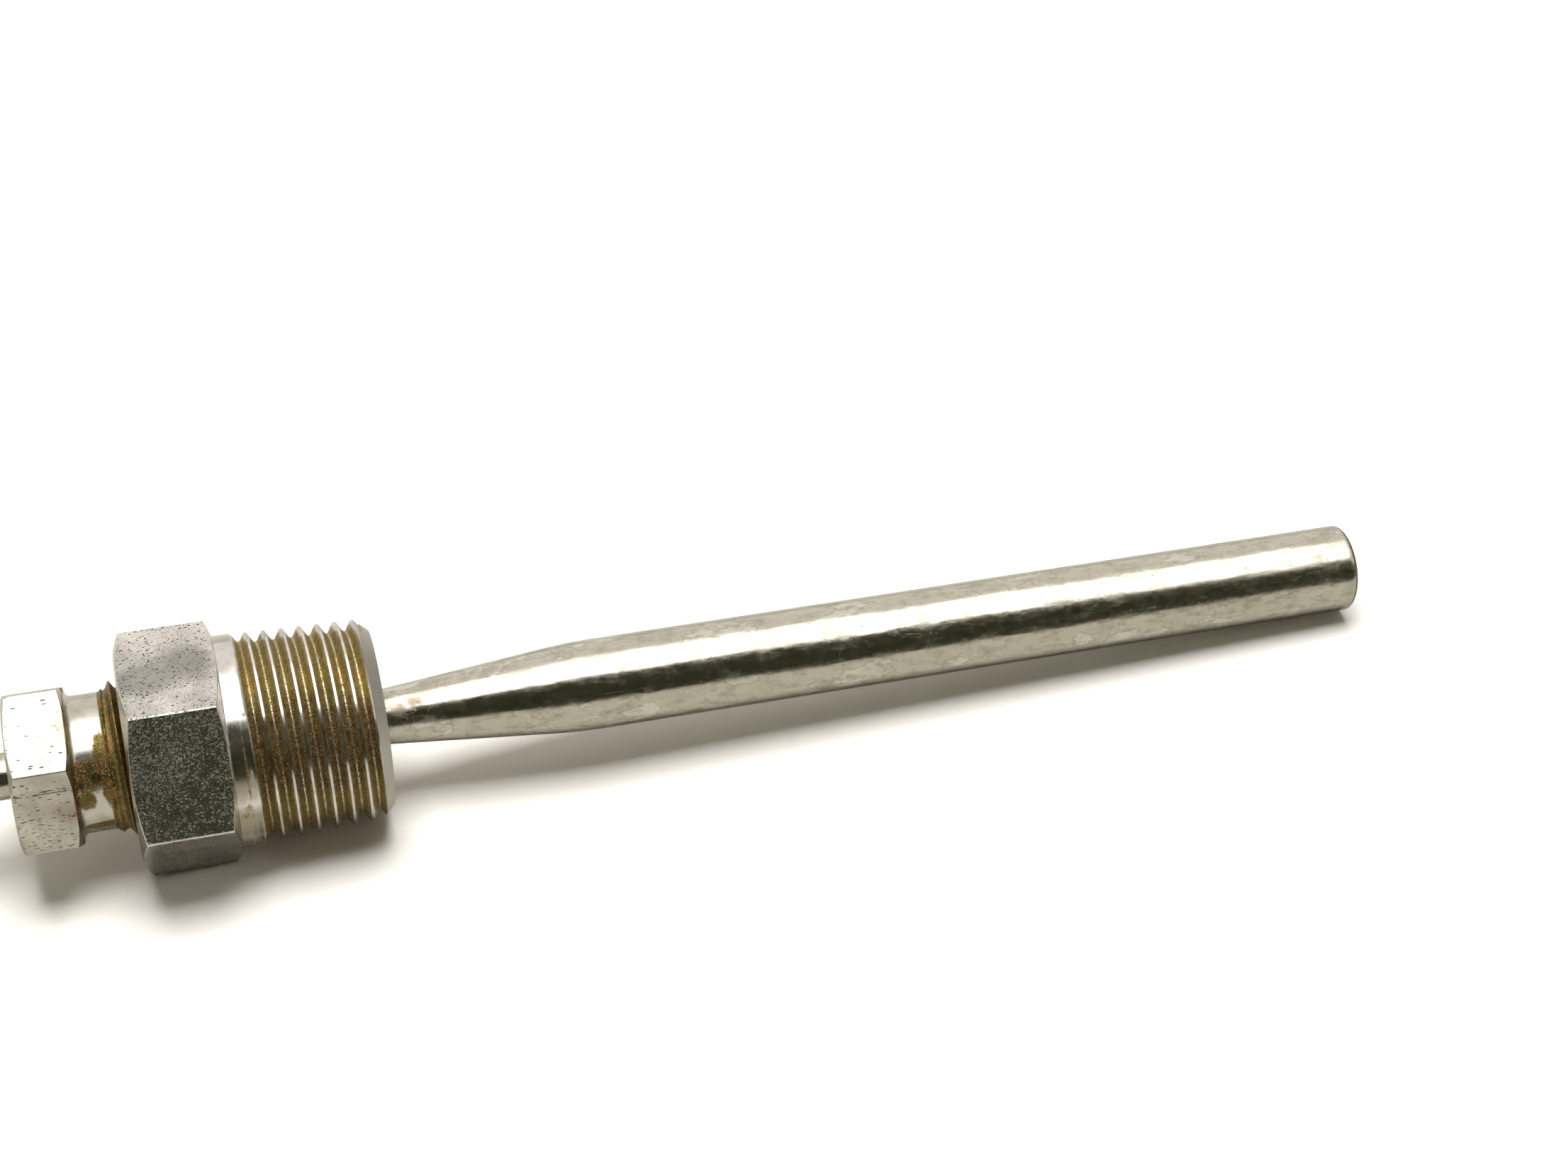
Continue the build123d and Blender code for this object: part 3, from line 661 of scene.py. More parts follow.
def gland_thread(places, angles):
    """Radius of the fine thread: it grows out of the neck, after a low bead."""
    growth = smooth(*GLAND_GROWTH, places)
    depth = groove_depth(places, angles, GLAND_PITCH, GLAND_PHASE, GLAND_CREST, GLAND_DEPTH)
    full = GLAND_CREST_RADIUS - depth - GLAND_NECK
    bead = BEAD_HEIGHT * np.exp(-((places - BEAD_PLACE) / BEAD_WIDTH) ** 2)
    lead_in = GLAND_NECK + (GLAND_END - places)
    return np.minimum(GLAND_NECK + np.maximum(growth * full, bead), lead_in)


def gland_rows():
    """All rows of the gland nut, outside and then inside, with their wrap steps."""
    hexagon, face = hexagon_outline(GLAND_FLATS, GLAND_FACE_SHARE, GLAND_LEFT, GLAND_RIGHT,
                                    gland_angles, GLAND_TURN, GLAND_HEXAGON_REACH)
    curve = np.radians([0, 22.5, 45, 67.5, 90])
    fillet = [(GLAND_RIGHT + GLAND_FILLET * (1 - cos(a)), GLAND_NECK + GLAND_FILLET * (1 - sin(a)), 0.0)
              for a in curve]
    outside = [(GLAND_LEFT, BORE["way"], 0.0)] + hexagon + [
        (GLAND_RIGHT, face, GLAND_EDGE_REACH)] + fillet + [(GLAND_THREAD_LEFT, GLAND_NECK, 0.0)]
    inside = [(GLAND_END, GLAND_NECK, 0.0), (GLAND_END, BORE["way"], 0.0),
              (GLAND_LEFT, BORE["way"], 0.0)]
    climb = climbing_rows(GLAND_THREAD_LEFT, GLAND_END, GLAND_PITCH, gland_angles,
                          GLAND_PHASE, GLAND_OFFSETS)
    return threaded_rows(outside, inside, gland_angles, gland_thread, *climb)


gland_angles = hexagon_columns(GLAND_TURN)
places, radii, threaded, steps = gland_rows()
phase = (places / GLAND_PITCH - GLAND_PHASE - gland_angles / (2 * pi)) % 1.0
rusty_run = smooth(*GLAND_RUST_IN, phase) * (1 - smooth(*GLAND_RUST_OUT, phase))
rusty_bead = BEAD_RUST * smooth(*BEAD_RUST_FROM, places)
values = {
    "rust": np.maximum(rusty_run, rusty_bead) * threaded[:, None],
    "flat": on_flats(places, radii, GLAND_FLATS, GLAND_FACE_SHARE, GLAND_LEFT, GLAND_RIGHT,
                     gland_angles, GLAND_TURN),
    "edge": (np.exp(-((places - GLAND_RIGHT + EDGE_INSET) / EDGE_WIDTH) ** 2)
             * (radii > GLAND_NECK + GLAND_FILLET)),
}
gland_mesh = mesh_from_grid("gland_body", places, radii, gland_angles, steps, values)
gland = new_object("gland_body", gland_mesh)
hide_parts("gland_nut")
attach(gland, "gland_nut")
print("gland:", len(gland_mesh.polygons), "triangles")

# %% [markdown]
# The tube is drawn from one piece: a stem of 3/16 inch that swells over an inch to a
# body of 3/8 inch. Swaging leaves soft shoulders, not the sharp ones of the CAD solid,
# so the outline's corners there are rounded over a few millimetres. The outline starts
# on the axis inside, runs back through the bore, round the open end and forward over
# the outside to the middle of the tip, which makes one closed skin with a real wall.

# %% Tube shape
STEM_RADIUS = 3 / 32 * INCH
STEM_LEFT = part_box("sheath_tube")[0].x / MM
STEM_WALL = 0.71
BODY_WALL = 1.24
TAPER_LEFT = 10.5
TAPER_RIGHT = 35.9
PLUG_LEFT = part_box("tip_plug")[0].x / MM
TIP_EDGE, TIP_RUN = 0.4, 6.0
STEM_END_REACH, TAPER_START_REACH, TAPER_END_REACH = 0.05, 1.6, 2.2
TUBE_COLUMNS = 160

tube_angles = np.linspace(0, 2 * pi, TUBE_COLUMNS, endpoint=False)
edge_curve = np.radians([0, 18, 36, 54, 72, 90])
tube_outline = [
    (PLUG_LEFT, 0.0, 0.0), (PLUG_LEFT, BODY_RADIUS - BODY_WALL, 0.0),
    (TAPER_RIGHT, BODY_RADIUS - BODY_WALL, 0.0), (TAPER_LEFT, STEM_RADIUS - STEM_WALL, 0.0),
    (STEM_LEFT, STEM_RADIUS - STEM_WALL, 0.0), (STEM_LEFT, STEM_RADIUS, STEM_END_REACH),
    (TAPER_LEFT, STEM_RADIUS, TAPER_START_REACH), (TAPER_RIGHT, BODY_RADIUS, TAPER_END_REACH),
    (TIP - TIP_RUN, BODY_RADIUS, 0.0), (TIP - 2 * TIP_EDGE, BODY_RADIUS, 0.0),
] + [(TIP - TIP_EDGE * (1 - sin(a)), BODY_RADIUS - TIP_EDGE * (1 - cos(a)), 0.0) for a in edge_curve] + [
    (TIP, BODY_RADIUS - 2 * TIP_EDGE, 0.0), (TIP, 0.0, 0.0)]
places, radii = softened(tube_outline, TUBE_COLUMNS)
tube_mesh = mesh_from_grid("probe_tube", places, radii, tube_angles, np.zeros(len(places), int))
tube = new_object("probe_tube", tube_mesh)
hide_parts("sheath_tube", "tip_plug")
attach(tube, "probe")
print("tube:", len(tube_mesh.polygons), "triangles")

# %% [markdown]
# Now the finishes. Several metals here share the same faults: pits, rust, stains, fine
# streaks. Each fault is a node group, built once and set to its own scale wherever it
# is used. A group gives only masks, values, heights and colours. The shader that uses
# them stays in the material. All of them read Object coordinates, so a pattern stays
# on its piece when the piece moves.

# %% Group helpers
def new_group(name, inputs, outputs):
    """Starts a shader node group. inputs and outputs are lists of (name, kind)."""
    tree = bpy.data.node_groups.new(name, "ShaderNodeTree")
    for way, sockets in (("INPUT", inputs), ("OUTPUT", outputs)):
        for label, kind in sockets:
            tree.interface.new_socket(name=label, in_out=way, socket_type="NodeSocket" + kind)
    entry = tree.nodes.new("NodeGroupInput").outputs
    leave = tree.nodes.new("NodeGroupOutput").inputs
    return tree, Graph(tree), entry, leave


def placed(graph, group, **values):
    """Puts a group in a graph. Each value goes to the input of that name."""
    node = graph.add("Group")
    node.node_tree = group
    for label, value in values.items():
        graph.give(value, node.inputs[label.replace("_", " ").capitalize()])
    return node.outputs


def stretched(graph, vector, factors):
    """The coordinates, scaled along each axis."""
    node = graph.add("VectorMath", operation="MULTIPLY")
    graph.give(vector, node.inputs[0])
    graph.give(factors, node.inputs[1])
    return node.outputs[0]


def cells(graph, vector, scale, count=2):
    """Round cells: the distance from each cell's middle, and a few random numbers per cell."""
    node = graph.add("TexVoronoi", feature="F1")
    graph.give(vector, node.inputs["Vector"])
    graph.give(scale, node.inputs["Scale"])
    numbers = graph.add("SeparateColor")
    graph.give(node.outputs["Color"], numbers.inputs[0])
    return node.outputs["Distance"], numbers.outputs[:count]


def noise(graph, vector, scale, detail=3.0, rough=0.6):
    """A cloudy noise between nought and one, with most of it near a half."""
    node = graph.add("TexNoise", Detail=detail, Roughness=rough)
    graph.give(vector, node.inputs["Vector"])
    graph.give(scale, node.inputs["Scale"])
    return node.outputs[0]


print("group helpers ready")

# %% [markdown]
# Pits are small round hollows that come in patches. A Voronoi texture scatters one
# point in each cell of space. A hollow sits on the point if the cell's random number is
# under the share of cells that are pitted, and a slow noise turns that share up and
# down, so that the pits gather in patches. A second random number sets the size.

# %% Pits group
PIT_FLOOR = 0.6
PIT_SIZES = 0.4, 1.0
PATCH_RANGE = 0.36, 0.58
PATCH_LEAST = 0.25


def make_pits():
    tree, graph, entry, leave = new_group(
        "pits", [("Vector", "Vector"), ("Scale", "Float"), ("Size", "Float"), ("Share", "Float"),
                 ("Patch scale", "Float")], [("Mask", "Float")])
    distance, (chance, own_size) = cells(graph, entry["Vector"], entry["Scale"])
    size = graph.times(entry["Size"], graph.ramp(own_size, 0.0, 1.0, *PIT_SIZES))
    hollow = graph.ramp(distance, graph.times(size, PIT_FLOOR), size, 1.0, 0.0)
    patch = noise(graph, entry["Vector"], entry["Patch scale"])
    share = graph.times(entry["Share"], graph.ramp(patch, *PATCH_RANGE, PATCH_LEAST, 1.0))
    graph.give(graph.times(hollow, graph.maths("LESS_THAN", chance, share)), leave["Mask"])
    return tree


pits = make_pits()
print("group:", pits.name)

# %% [markdown]
# Rust on stainless steel is not a coat. A thin brown film lets the metal shine through,
# and loose grains sit on it: black, brown, ochre and a few orange ones. So the group
# gives two masks. The film follows the cover softly. The grains are cells of space, and
# a cell holds one if its random number is under the cover, which a noise makes patchy.

# %% Rust group
GRAIN_COLOURS = (
    (0.0, (0.006, 0.005, 0.003)), (0.26, (0.035, 0.021, 0.008)), (0.46, (0.19, 0.105, 0.026)),
    (0.64, (0.44, 0.27, 0.06)), (0.82, (0.58, 0.20, 0.03)), (0.90, (0.78, 0.62, 0.32)))
FILM_EDGE = 0.15, 0.80
BLOTCH_SHARE = 0.12
BLOTCH_RANGE = 0.35, 0.62
GRAINS_IN_BLOTCH = 0.35, 1.25
GRAIN_EDGE = 0.45, 0.62


def make_rust():
    tree, graph, entry, leave = new_group(
        "rust", [("Vector", "Vector"), ("Cover", "Float"), ("Grain", "Float"), ("Share", "Float")],
        [("Color", "Color"), ("Film", "Float"), ("Grains", "Float"), ("Height", "Float")])
    distance, (chance, tone, height) = cells(graph, entry["Vector"], entry["Grain"], 3)
    blotch = noise(graph, entry["Vector"], graph.times(entry["Grain"], BLOTCH_SHARE), 4.0)
    colours = graph.add("ValToRGB")
    colours.color_ramp.interpolation = "CONSTANT"
    graph.give(tone, colours.inputs[0])
    elements = colours.color_ramp.elements
    while len(elements) < len(GRAIN_COLOURS):
        elements.new(0.5)
    for element, (place, colour) in zip(elements, GRAIN_COLOURS):
        element.position = place
        element.color = colour + (1,)
    graph.give(colours.outputs[0], leave["Color"])
    film = graph.ramp(graph.plus(entry["Cover"], graph.minus(blotch, 0.5)), *FILM_EDGE)
    graph.give(film, leave["Film"])
    share = graph.times(graph.times(film, entry["Share"]),
                        graph.ramp(blotch, *BLOTCH_RANGE, *GRAINS_IN_BLOTCH))
    round_grain = graph.ramp(distance, *GRAIN_EDGE, 1.0, 0.0)
    graph.give(graph.times(round_grain, graph.maths("LESS_THAN", chance, share)), leave["Grains"])
    graph.give(graph.minus(height, distance), leave["Height"])
    return tree


rust = make_rust()
print("group:", rust.name)

# %% [markdown]
# A stain has a place. It is a soft ball round a centre in the part's own coordinates,
# whose surface a noise pushes in and out, so it can be put where the real one is. The
# streak group is a noise squeezed across an axis, which gives the grain of a drawn or
# rolled surface. The ring group follows the lathe: it depends on place and radius only.

# %% Stain, streak and ring groups
STAIN_EDGE = 0.5, 1.25
EVEN = (1.0, 1.0, 1.0)


def make_stain():
    tree, graph, entry, leave = new_group(
        "stain", [("Vector", "Vector"), ("Centre", "Vector"), ("Stretch", "Vector"), ("Radius", "Float"),
                  ("Ragged", "Float"), ("Scale", "Float")], [("Mask", "Float")])
    away = graph.add("VectorMath", operation="SUBTRACT")
    graph.give(entry["Vector"], away.inputs[0])
    graph.give(entry["Centre"], away.inputs[1])
    length = graph.add("VectorMath", operation="LENGTH")
    graph.give(stretched(graph, away.outputs[0], entry["Stretch"]), length.inputs[0])
    edge = noise(graph, entry["Vector"], entry["Scale"], 5.0)
    wobble = graph.times(graph.minus(edge, 0.5), entry["Ragged"])
    ratio = graph.maths("DIVIDE", length.outputs["Value"], entry["Radius"])
    graph.give(graph.ramp(graph.plus(ratio, wobble), *STAIN_EDGE, 1.0, 0.0), leave["Mask"])
    return tree


def make_streaks():
    tree, graph, entry, leave = new_group(
        "streaks", [("Vector", "Vector"), ("Stretch", "Vector"), ("Scale", "Float")],
        [("Value", "Float")])
    squeezed = stretched(graph, entry["Vector"], entry["Stretch"])
    graph.give(noise(graph, squeezed, entry["Scale"], 4.0, 0.65), leave["Value"])
    return tree


def make_rings():
    tree, graph, entry, leave = new_group(
        "rings", [("Vector", "Vector"), ("Scale", "Float")], [("Value", "Float")])
    along, across, up = graph.parts(entry["Vector"])
    radius = graph.maths("POWER", graph.plus(graph.times(across, across), graph.times(up, up)), 0.5)
    lines = graph.add("TexNoise", noise_dimensions="1D", Detail=3.0, Roughness=0.7)
    graph.give(graph.plus(along, radius), lines.inputs["W"])
    graph.give(entry["Scale"], lines.inputs["Scale"])
    graph.give(lines.outputs[0], leave["Value"])
    return tree


stain, streaks, rings = make_stain(), make_streaks(), make_rings()
print("groups:", stain.name, streaks.name, rings.name)

# %% [markdown]
# A material starts with the same few nodes: a Principled shader and the part's own
# coordinates. A bump height is given in metres through the Bump node's distance, so
# that a pit a twentieth of a millimetre deep is written as one.

# %% Material helpers
def new_material(name, metallic=1.0):
    """Starts a material. Returns it with its shader, its graph and the part's coordinates."""
    material = bpy.data.materials.new(name)
    material.use_nodes = True
    material.node_tree.nodes.clear()
    graph = Graph(material.node_tree)
    shader = graph.add("BsdfPrincipled")
    shader.inputs["Metallic"].default_value = metallic
    graph.give(shader.outputs[0], graph.add("OutputMaterial").inputs["Surface"])
    return material, shader, graph, graph.add("TexCoord").outputs["Object"]


def finished(graph, shader, colour, roughness, heights, depths):
    """Gives a shader its colour and roughness, and a bump for each height and depth in mm."""
    graph.give(colour, shader.inputs["Base Color"])
    graph.give(roughness, shader.inputs["Roughness"])
    target = shader.inputs["Normal"]
    for height, depth in reversed(list(zip(heights, depths))):
        node = graph.add("Bump", Strength=1.0, Distance=depth * MM, Height=height)
        graph.give(node.outputs["Normal"], target)
        target = node.inputs["Normal"]


def attribute(graph, label):
    """A value that the mesh carries on its points."""
    return graph.add("Attribute", attribute_name=label).outputs["Fac"]


def streaky(graph, where, scale, along=1.0):
    """Streaks along the bar. Under one, along draws them out; at one they are clouds."""
    return placed(graph, streaks, vector=where, stretch=(along, 1.0, 1.0), scale=scale)[0]


def stained(graph, where, places, ragged, scale):
    """The greatest of several stains. Each place is (centre in mm, stretch, radius in mm)."""
    total = 0.0
    for centre, stretch, radius in places:
        spot = placed(graph, stain, vector=where, centre=tuple(c * MM for c in centre),
                      stretch=stretch, radius=radius * MM, ragged=ragged, scale=scale)[0]
        total = graph.larger(total, spot)
    return total


print("material helpers ready")

# %% [markdown]
# The fitting's flats are satin and pitted, its turned faces brighter with fine rings,
# and its thread rusty in the grooves. The mesh says which is which: a value on the
# flats, one on the grooves, and one in the very root, where a bright line shows. A pit
# holds dull grey dirt, so it looks dark on a flat that mirrors the light and pale on a
# flat that mirrors the dark. That is why one face has dark dots and the next pale ones.
# A fourth value marks the cone that leads into the thread, which is plain and dull.
# On the front of the thread, where it mirrors the dark room, the rust has more grains,
# which is real rust, and a darker film, which is painted shade.

# %% Fitting steel
STEEL_DULL, STEEL_PALE = (0.54, 0.515, 0.475), (0.82, 0.785, 0.735)
HAZE_GREY, LEAD_GREY = (0.26, 0.245, 0.225), (0.40, 0.385, 0.345)
PIT_DIRT, NECK_DIRT = (0.052, 0.050, 0.036), (0.25, 0.22, 0.14)
FILM_OLIVE, FILM_BROWN = (0.37, 0.31, 0.115), (0.40, 0.28, 0.075)
# The darkest film colour is painted shade, for the front of the thread that mirrors the dark room.
FILM_PAINTED_SHADE = (0.075, 0.055, 0.010)
FILM_TONE = 0.46, 0.64
# A stain on the front of the thread: its extra grains are real rust, its darker film is painted shade.
THREAD_RUST_AND_SHADE = {"places": (((6.5, -8.5, 5.5), (0.55, 1.0, 1.0), 6.0),), "ragged": 0.8, "scale": 260.0}
NECK_RUST = {"places": (
    ((1.0, -10.8, 0.3), (1.4, 0.8, 0.8), 0.9), ((1.25, -9.7, 4.9), (6.0, 0.22, 0.22), 1.0),
    ((1.25, -10.0, -4.5), (6.0, 0.22, 0.22), 1.0)), "ragged": 2.4, "scale": 1500.0}
NECK_GRIME = {"places": (
    ((0.7, -9.2, 4.2), (0.6, 1.0, 1.0), 3.0), ((0.7, -10.6, -1.6), (0.6, 1.0, 1.0), 2.6)),
    "ragged": 0.8, "scale": 700.0}
TOP_HAZE = {"places": (
    ((-7.0, -1.0, 11.1), (0.55, 1.0, 1.0), 2.6), ((-3.0, 0.5, 11.1), (0.7, 0.7, 1.0), 2.2)),
    "ragged": 0.9, "scale": 320.0}
BAR_STRETCH = (0.55, 1.0, 1.0)
LARGE_PITS = {"scale": 4000.0, "size": 0.46, "share": 0.95, "patch_scale": 150.0}
SMALL_PITS = {"scale": 8200.0, "size": 0.52, "share": 0.7, "patch_scale": 200.0}
THREAD_GRAIN, GRAIN_SHARES = 10200.0, (0.50, 1.0)
LATHE_SCALE, FITTING_CLOUD, FITTING_SPECK, FITTING_TONE = 9000.0, 260.0, (5200.0, 0.5), (650.0, 4.0)
BRIGHT_ROUGH, SATIN_ROUGH = (0.16, 0.24), (0.15, 0.22)
LEAD_ROUGH, FILM_ROUGH, DIRT_ROUGH = 0.40, 0.38, 0.85
LEAD_SHARE, NECK_SHARE, DIRT_OVER_METAL = 0.8, 0.5, 0.9
BRIGHT_ROOT = 0.44, 0.54
FITTING_DEPTHS = 0.018, 0.006, 0.0014, 0.05


def make_fitting_steel():
    material, shader, graph, where = new_material("fitting_steel")
    flat, root = attribute(graph, "flat"), attribute(graph, "root")
    lead = graph.times(attribute(graph, "lead"), LEAD_SHARE)
    large = placed(graph, pits, vector=stretched(graph, where, BAR_STRETCH), **LARGE_PITS)[0]
    small = placed(graph, pits, vector=where, **SMALL_PITS)[0]
    pitted = graph.times(graph.larger(large, small), flat)
    marks = placed(graph, rings, vector=where, scale=LATHE_SCALE)[0]
    cloud = streaky(graph, where, FITTING_CLOUD)
    speck = streaky(graph, where, *FITTING_SPECK)

    heavy_rust_and_shade = stained(graph, where, **THREAD_RUST_AND_SHADE)
    neck = graph.times(stained(graph, where, **NECK_RUST), NECK_SHARE)
    grime = graph.times(stained(graph, where, **NECK_GRIME), graph.less(flat))
    haze = graph.times(stained(graph, where, **TOP_HAZE), flat)
    crust = placed(graph, rust, vector=where, cover=graph.larger(attribute(graph, "rust"), neck),
                   grain=THREAD_GRAIN, share=graph.ramp(heavy_rust_and_shade, 0.0, 1.0, *GRAIN_SHARES))
    shining = graph.less(graph.times(root, graph.ramp(speck, *BRIGHT_ROOT)))
    film, grains = graph.times(crust["Film"], shining), graph.times(crust["Grains"], shining)

    tone = graph.ramp(noise(graph, where, *FITTING_TONE), *FILM_TONE)
    # Painted shade: the rust film turns darker on the front of the thread, where it mirrors the dark room.
    rusty = graph.layered(graph.mixed(tone, FILM_OLIVE, FILM_BROWN), (heavy_rust_and_shade, 0.6, FILM_PAINTED_SHADE))
    colour = graph.layered(
        graph.mixed(graph.spread(cloud), STEEL_DULL, STEEL_PALE), (haze, 0.7, HAZE_GREY),
        (lead, 1.0, LEAD_GREY), (grime, 0.75, NECK_DIRT), (film, 0.92, rusty),
        (pitted, 1.0, PIT_DIRT), (grains, 1.0, crust["Color"]))
    dirt = graph.larger(grains, pitted)
    metal_rough = graph.mixed(flat, graph.spread(cloud, *BRIGHT_ROUGH),
                              graph.spread(speck, *SATIN_ROUGH))
    rough = graph.layered(metal_rough, (lead, 1.0, LEAD_ROUGH), (film, 1.0, FILM_ROUGH),
                          (dirt, 1.0, DIRT_ROUGH))
    graph.give(graph.less(dirt, DIRT_OVER_METAL), shader.inputs["Metallic"])
    finished(graph, shader, colour, rough, (
        graph.less(pitted), graph.times(speck, flat), marks,
        graph.times(crust["Height"], grains)), FITTING_DEPTHS)
    return material


fitting_steel = make_fitting_steel()
fitting_mesh.materials.append(fitting_steel)
print("material:", fitting_steel.name)

# %% [markdown]
# The gland is brighter. Its flats carry short pits drawn out along the bar, a few on
# the upper flat and rows of them below. A brown stain with a dark spot runs down the
# neck, a red line follows the edge of the hexagon, and rust sits on the first threads
# beside the fitting. Two scored lines run along the lower flat, broken up by a noise.
# Each stain and each line is placed where the photograph has it.

# %% Gland steel
GLAND_DULL, GLAND_PALE = (0.46, 0.435, 0.365), (0.66, 0.64, 0.58)
STAIN_OLIVE, STAIN_BROWN = (0.15, 0.13, 0.045), (0.25, 0.165, 0.06)
EDGE_RED, SPOT_DARK = (0.16, 0.045, 0.02), (0.030, 0.030, 0.018)
DASH_DIRT = (0.09, 0.08, 0.07)
STAIN_TONE, LOWER_EDGE = (0.42, 0.58), (0.3, 0.6)
SPOT_SHARE, EDGE_CLEAR = 0.8, 0.7
NECK_STAINS = {"places": (
    ((-14.0, -5.8, 3.9), (0.75, 1.0, 1.0), 1.85), ((-14.5, -6.8, 1.5), EVEN, 1.15),
    ((-13.2, -6.6, -2.4), (0.35, 1.0, 1.0), 0.75), ((-12.3, -5.0, 5.0), (1.5, 0.5, 0.5), 1.5),
    ((-12.1, -6.6, 2.3), (1.8, 0.55, 0.55), 1.2)), "ragged": 1.0, "scale": 800.0}
DARK_SPOTS = {"places": (
    ((-13.1, -5.95, 3.75), (1.3, 1.0, 1.0), 0.75), ((-14.9, -6.3, 3.0), (1.5, 1.0, 1.0), 0.5)),
    "ragged": 2.6, "scale": 2200.0}
LOWER_FLAT = {"places": (((-18.3, -8.5, 0.5), (0.1, 1.0, 1.0), 4.6),), "ragged": 0.2, "scale": 300.0}
DASHES = {"scale": 3300.0, "size": 0.30, "share": 0.55, "patch_scale": 420.0}
FINE_DASHES = {"scale": 7000.0, "size": 0.42, "share": 0.85, "patch_scale": 500.0}
DASH_STRETCH, FINE_STRETCH = (0.30, 1.0, 1.0), (0.2, 1.0, 1.0)
SCORE_ACROSS = (0.0, 0.2028, 0.9792)
SCORES = ((2.58, 1200.0), (2.30, 1680.0))
SCORE_EDGE, SCORE_BREAKS = (0.03, 0.07), (0.45, 0.52)
GLAND_GRAIN, GLAND_GRAIN_SHARES = 10000.0, (0.34, 0.60)
ROLLED_GRAIN, GLAND_CLOUD, GLAND_TONE = (4200.0, 0.12), 300.0, (900.0, 4.0)
GLAND_TURNED_ROUGH, GLAND_FLAT_ROUGH = (0.18, 0.28), (0.28, 0.40)
GLAND_FILM_ROUGH, GLAND_DIRT_ROUGH = 0.42, 0.8
GLAND_DEPTHS = 0.04, 0.006, 0.03


def scored(graph, where):
    """Two broken lines along the bar, each at its distance across the lower flat in mm."""
    lines = 0.0
    across = graph.dot(where, SCORE_ACROSS)
    for place, scale in SCORES:
        gap = graph.maths("ABSOLUTE", graph.minus(across, place * MM))
        line = graph.ramp(gap, SCORE_EDGE[0] * MM, SCORE_EDGE[1] * MM, 1.0, 0.0)
        breaks = graph.ramp(noise(graph, where, scale, 2.0), *SCORE_BREAKS)
        lines = graph.larger(lines, graph.times(line, breaks))
    return lines


def make_gland_steel():
    material, shader, graph, where = new_material("gland_steel")
    flat, edge = attribute(graph, "flat"), attribute(graph, "edge")
    dashes = placed(graph, pits, vector=stretched(graph, where, DASH_STRETCH), **DASHES)[0]
    fine = placed(graph, pits, vector=stretched(graph, where, FINE_STRETCH), **FINE_DASHES)[0]
    lower = graph.ramp(stained(graph, where, **LOWER_FLAT), *LOWER_EDGE)
    fine = graph.times(graph.larger(fine, scored(graph, where)), lower)
    pitted = graph.times(graph.larger(dashes, fine), flat)
    grain = streaky(graph, where, *ROLLED_GRAIN)
    cloud = streaky(graph, where, GLAND_CLOUD)

    stains = stained(graph, where, **NECK_STAINS)
    spots = graph.times(stained(graph, where, **DARK_SPOTS), SPOT_SHARE)
    cover = graph.larger(graph.larger(attribute(graph, "rust"), edge), stains)
    crust = placed(graph, rust, vector=where, cover=cover, grain=GLAND_GRAIN,
                   share=graph.ramp(stains, 0.0, 1.0, *GLAND_GRAIN_SHARES))
    film, grains = crust["Film"], graph.times(crust["Grains"], graph.less(edge, EDGE_CLEAR))

    tone = graph.ramp(noise(graph, where, *GLAND_TONE), *STAIN_TONE)
    colour = graph.layered(
        graph.mixed(graph.spread(cloud), GLAND_DULL, GLAND_PALE),
        (film, 1.0, graph.mixed(tone, STAIN_OLIVE, STAIN_BROWN)), (edge, 0.85, EDGE_RED),
        (pitted, 1.0, DASH_DIRT), (grains, 1.0, crust["Color"]), (spots, 1.0, SPOT_DARK))
    dirt = graph.larger(grains, pitted)
    metal_rough = graph.mixed(flat, graph.spread(cloud, *GLAND_TURNED_ROUGH),
                              graph.spread(grain, *GLAND_FLAT_ROUGH))
    rough = graph.layered(metal_rough, (film, 1.0, GLAND_FILM_ROUGH), (dirt, 1.0, GLAND_DIRT_ROUGH))
    graph.give(graph.less(dirt, DIRT_OVER_METAL), shader.inputs["Metallic"])
    finished(graph, shader, colour, rough, (
        graph.less(pitted), graph.times(grain, flat),
        graph.times(crust["Height"], grains)), GLAND_DEPTHS)
    return material


gland_steel = make_gland_steel()
gland_mesh.materials.append(gland_steel)
print("material:", gland_steel.name)

# %% [markdown]
# The tube is polished, and that makes every fault visible in its reflections. Slow
# waves in the surface bend the edges of the light bands, faint water stains dull it in
# patches with a darker rim, tan smears blur it along the bar, and thin scratches and a
# few pits break the dark band. A scratch is the thin line where a stretched noise
# passes through its middle value. The rim and the end of the tip are coloured dark brown.

# %% Tube steel
TUBE_DULL, TUBE_PALE = (0.55, 0.52, 0.44), (0.67, 0.645, 0.575)
WATER_RIM, MOTTLE_OLIVE = (0.24, 0.21, 0.15), (0.26, 0.25, 0.165)
SMEAR_TAN, TIP_BROWN = (0.24, 0.215, 0.14), (0.10, 0.065, 0.045)
SPOT_BROWN, PIT_BLACK = (0.25, 0.17, 0.09), (0.07, 0.06, 0.05)
TAPER_SPOTS = {"places": (
    ((17.4, -1.6, 2.2), (0.8, 1.0, 1.0), 0.8), ((19.0, -1.4, 2.7), (0.6, 1.0, 1.0), 0.6),
    ((20.4, -2.6, 1.4), (0.5, 1.0, 1.0), 0.45)), "ragged": 1.6, "scale": 1400.0}
TUBE_PITS = {"scale": 1500.0, "size": 0.14, "share": 0.14, "patch_scale": 120.0}
LONG_LINES = {"stretch": (0.25, 1.0, 1.0), "turn": (0.2, 0.1, 0.5), "scale": 500.0, "width": 0.005}
CROSS_LINES = {"stretch": (1.0, 0.2, 0.6), "turn": (0.7, 0.4, 0.9), "scale": 420.0, "width": 0.003}
LINES_SHOW, SMEAR_RANGE, SMEAR_PATCHES = (0.56, 0.62), (0.46, 0.62), (0.42, 0.58)
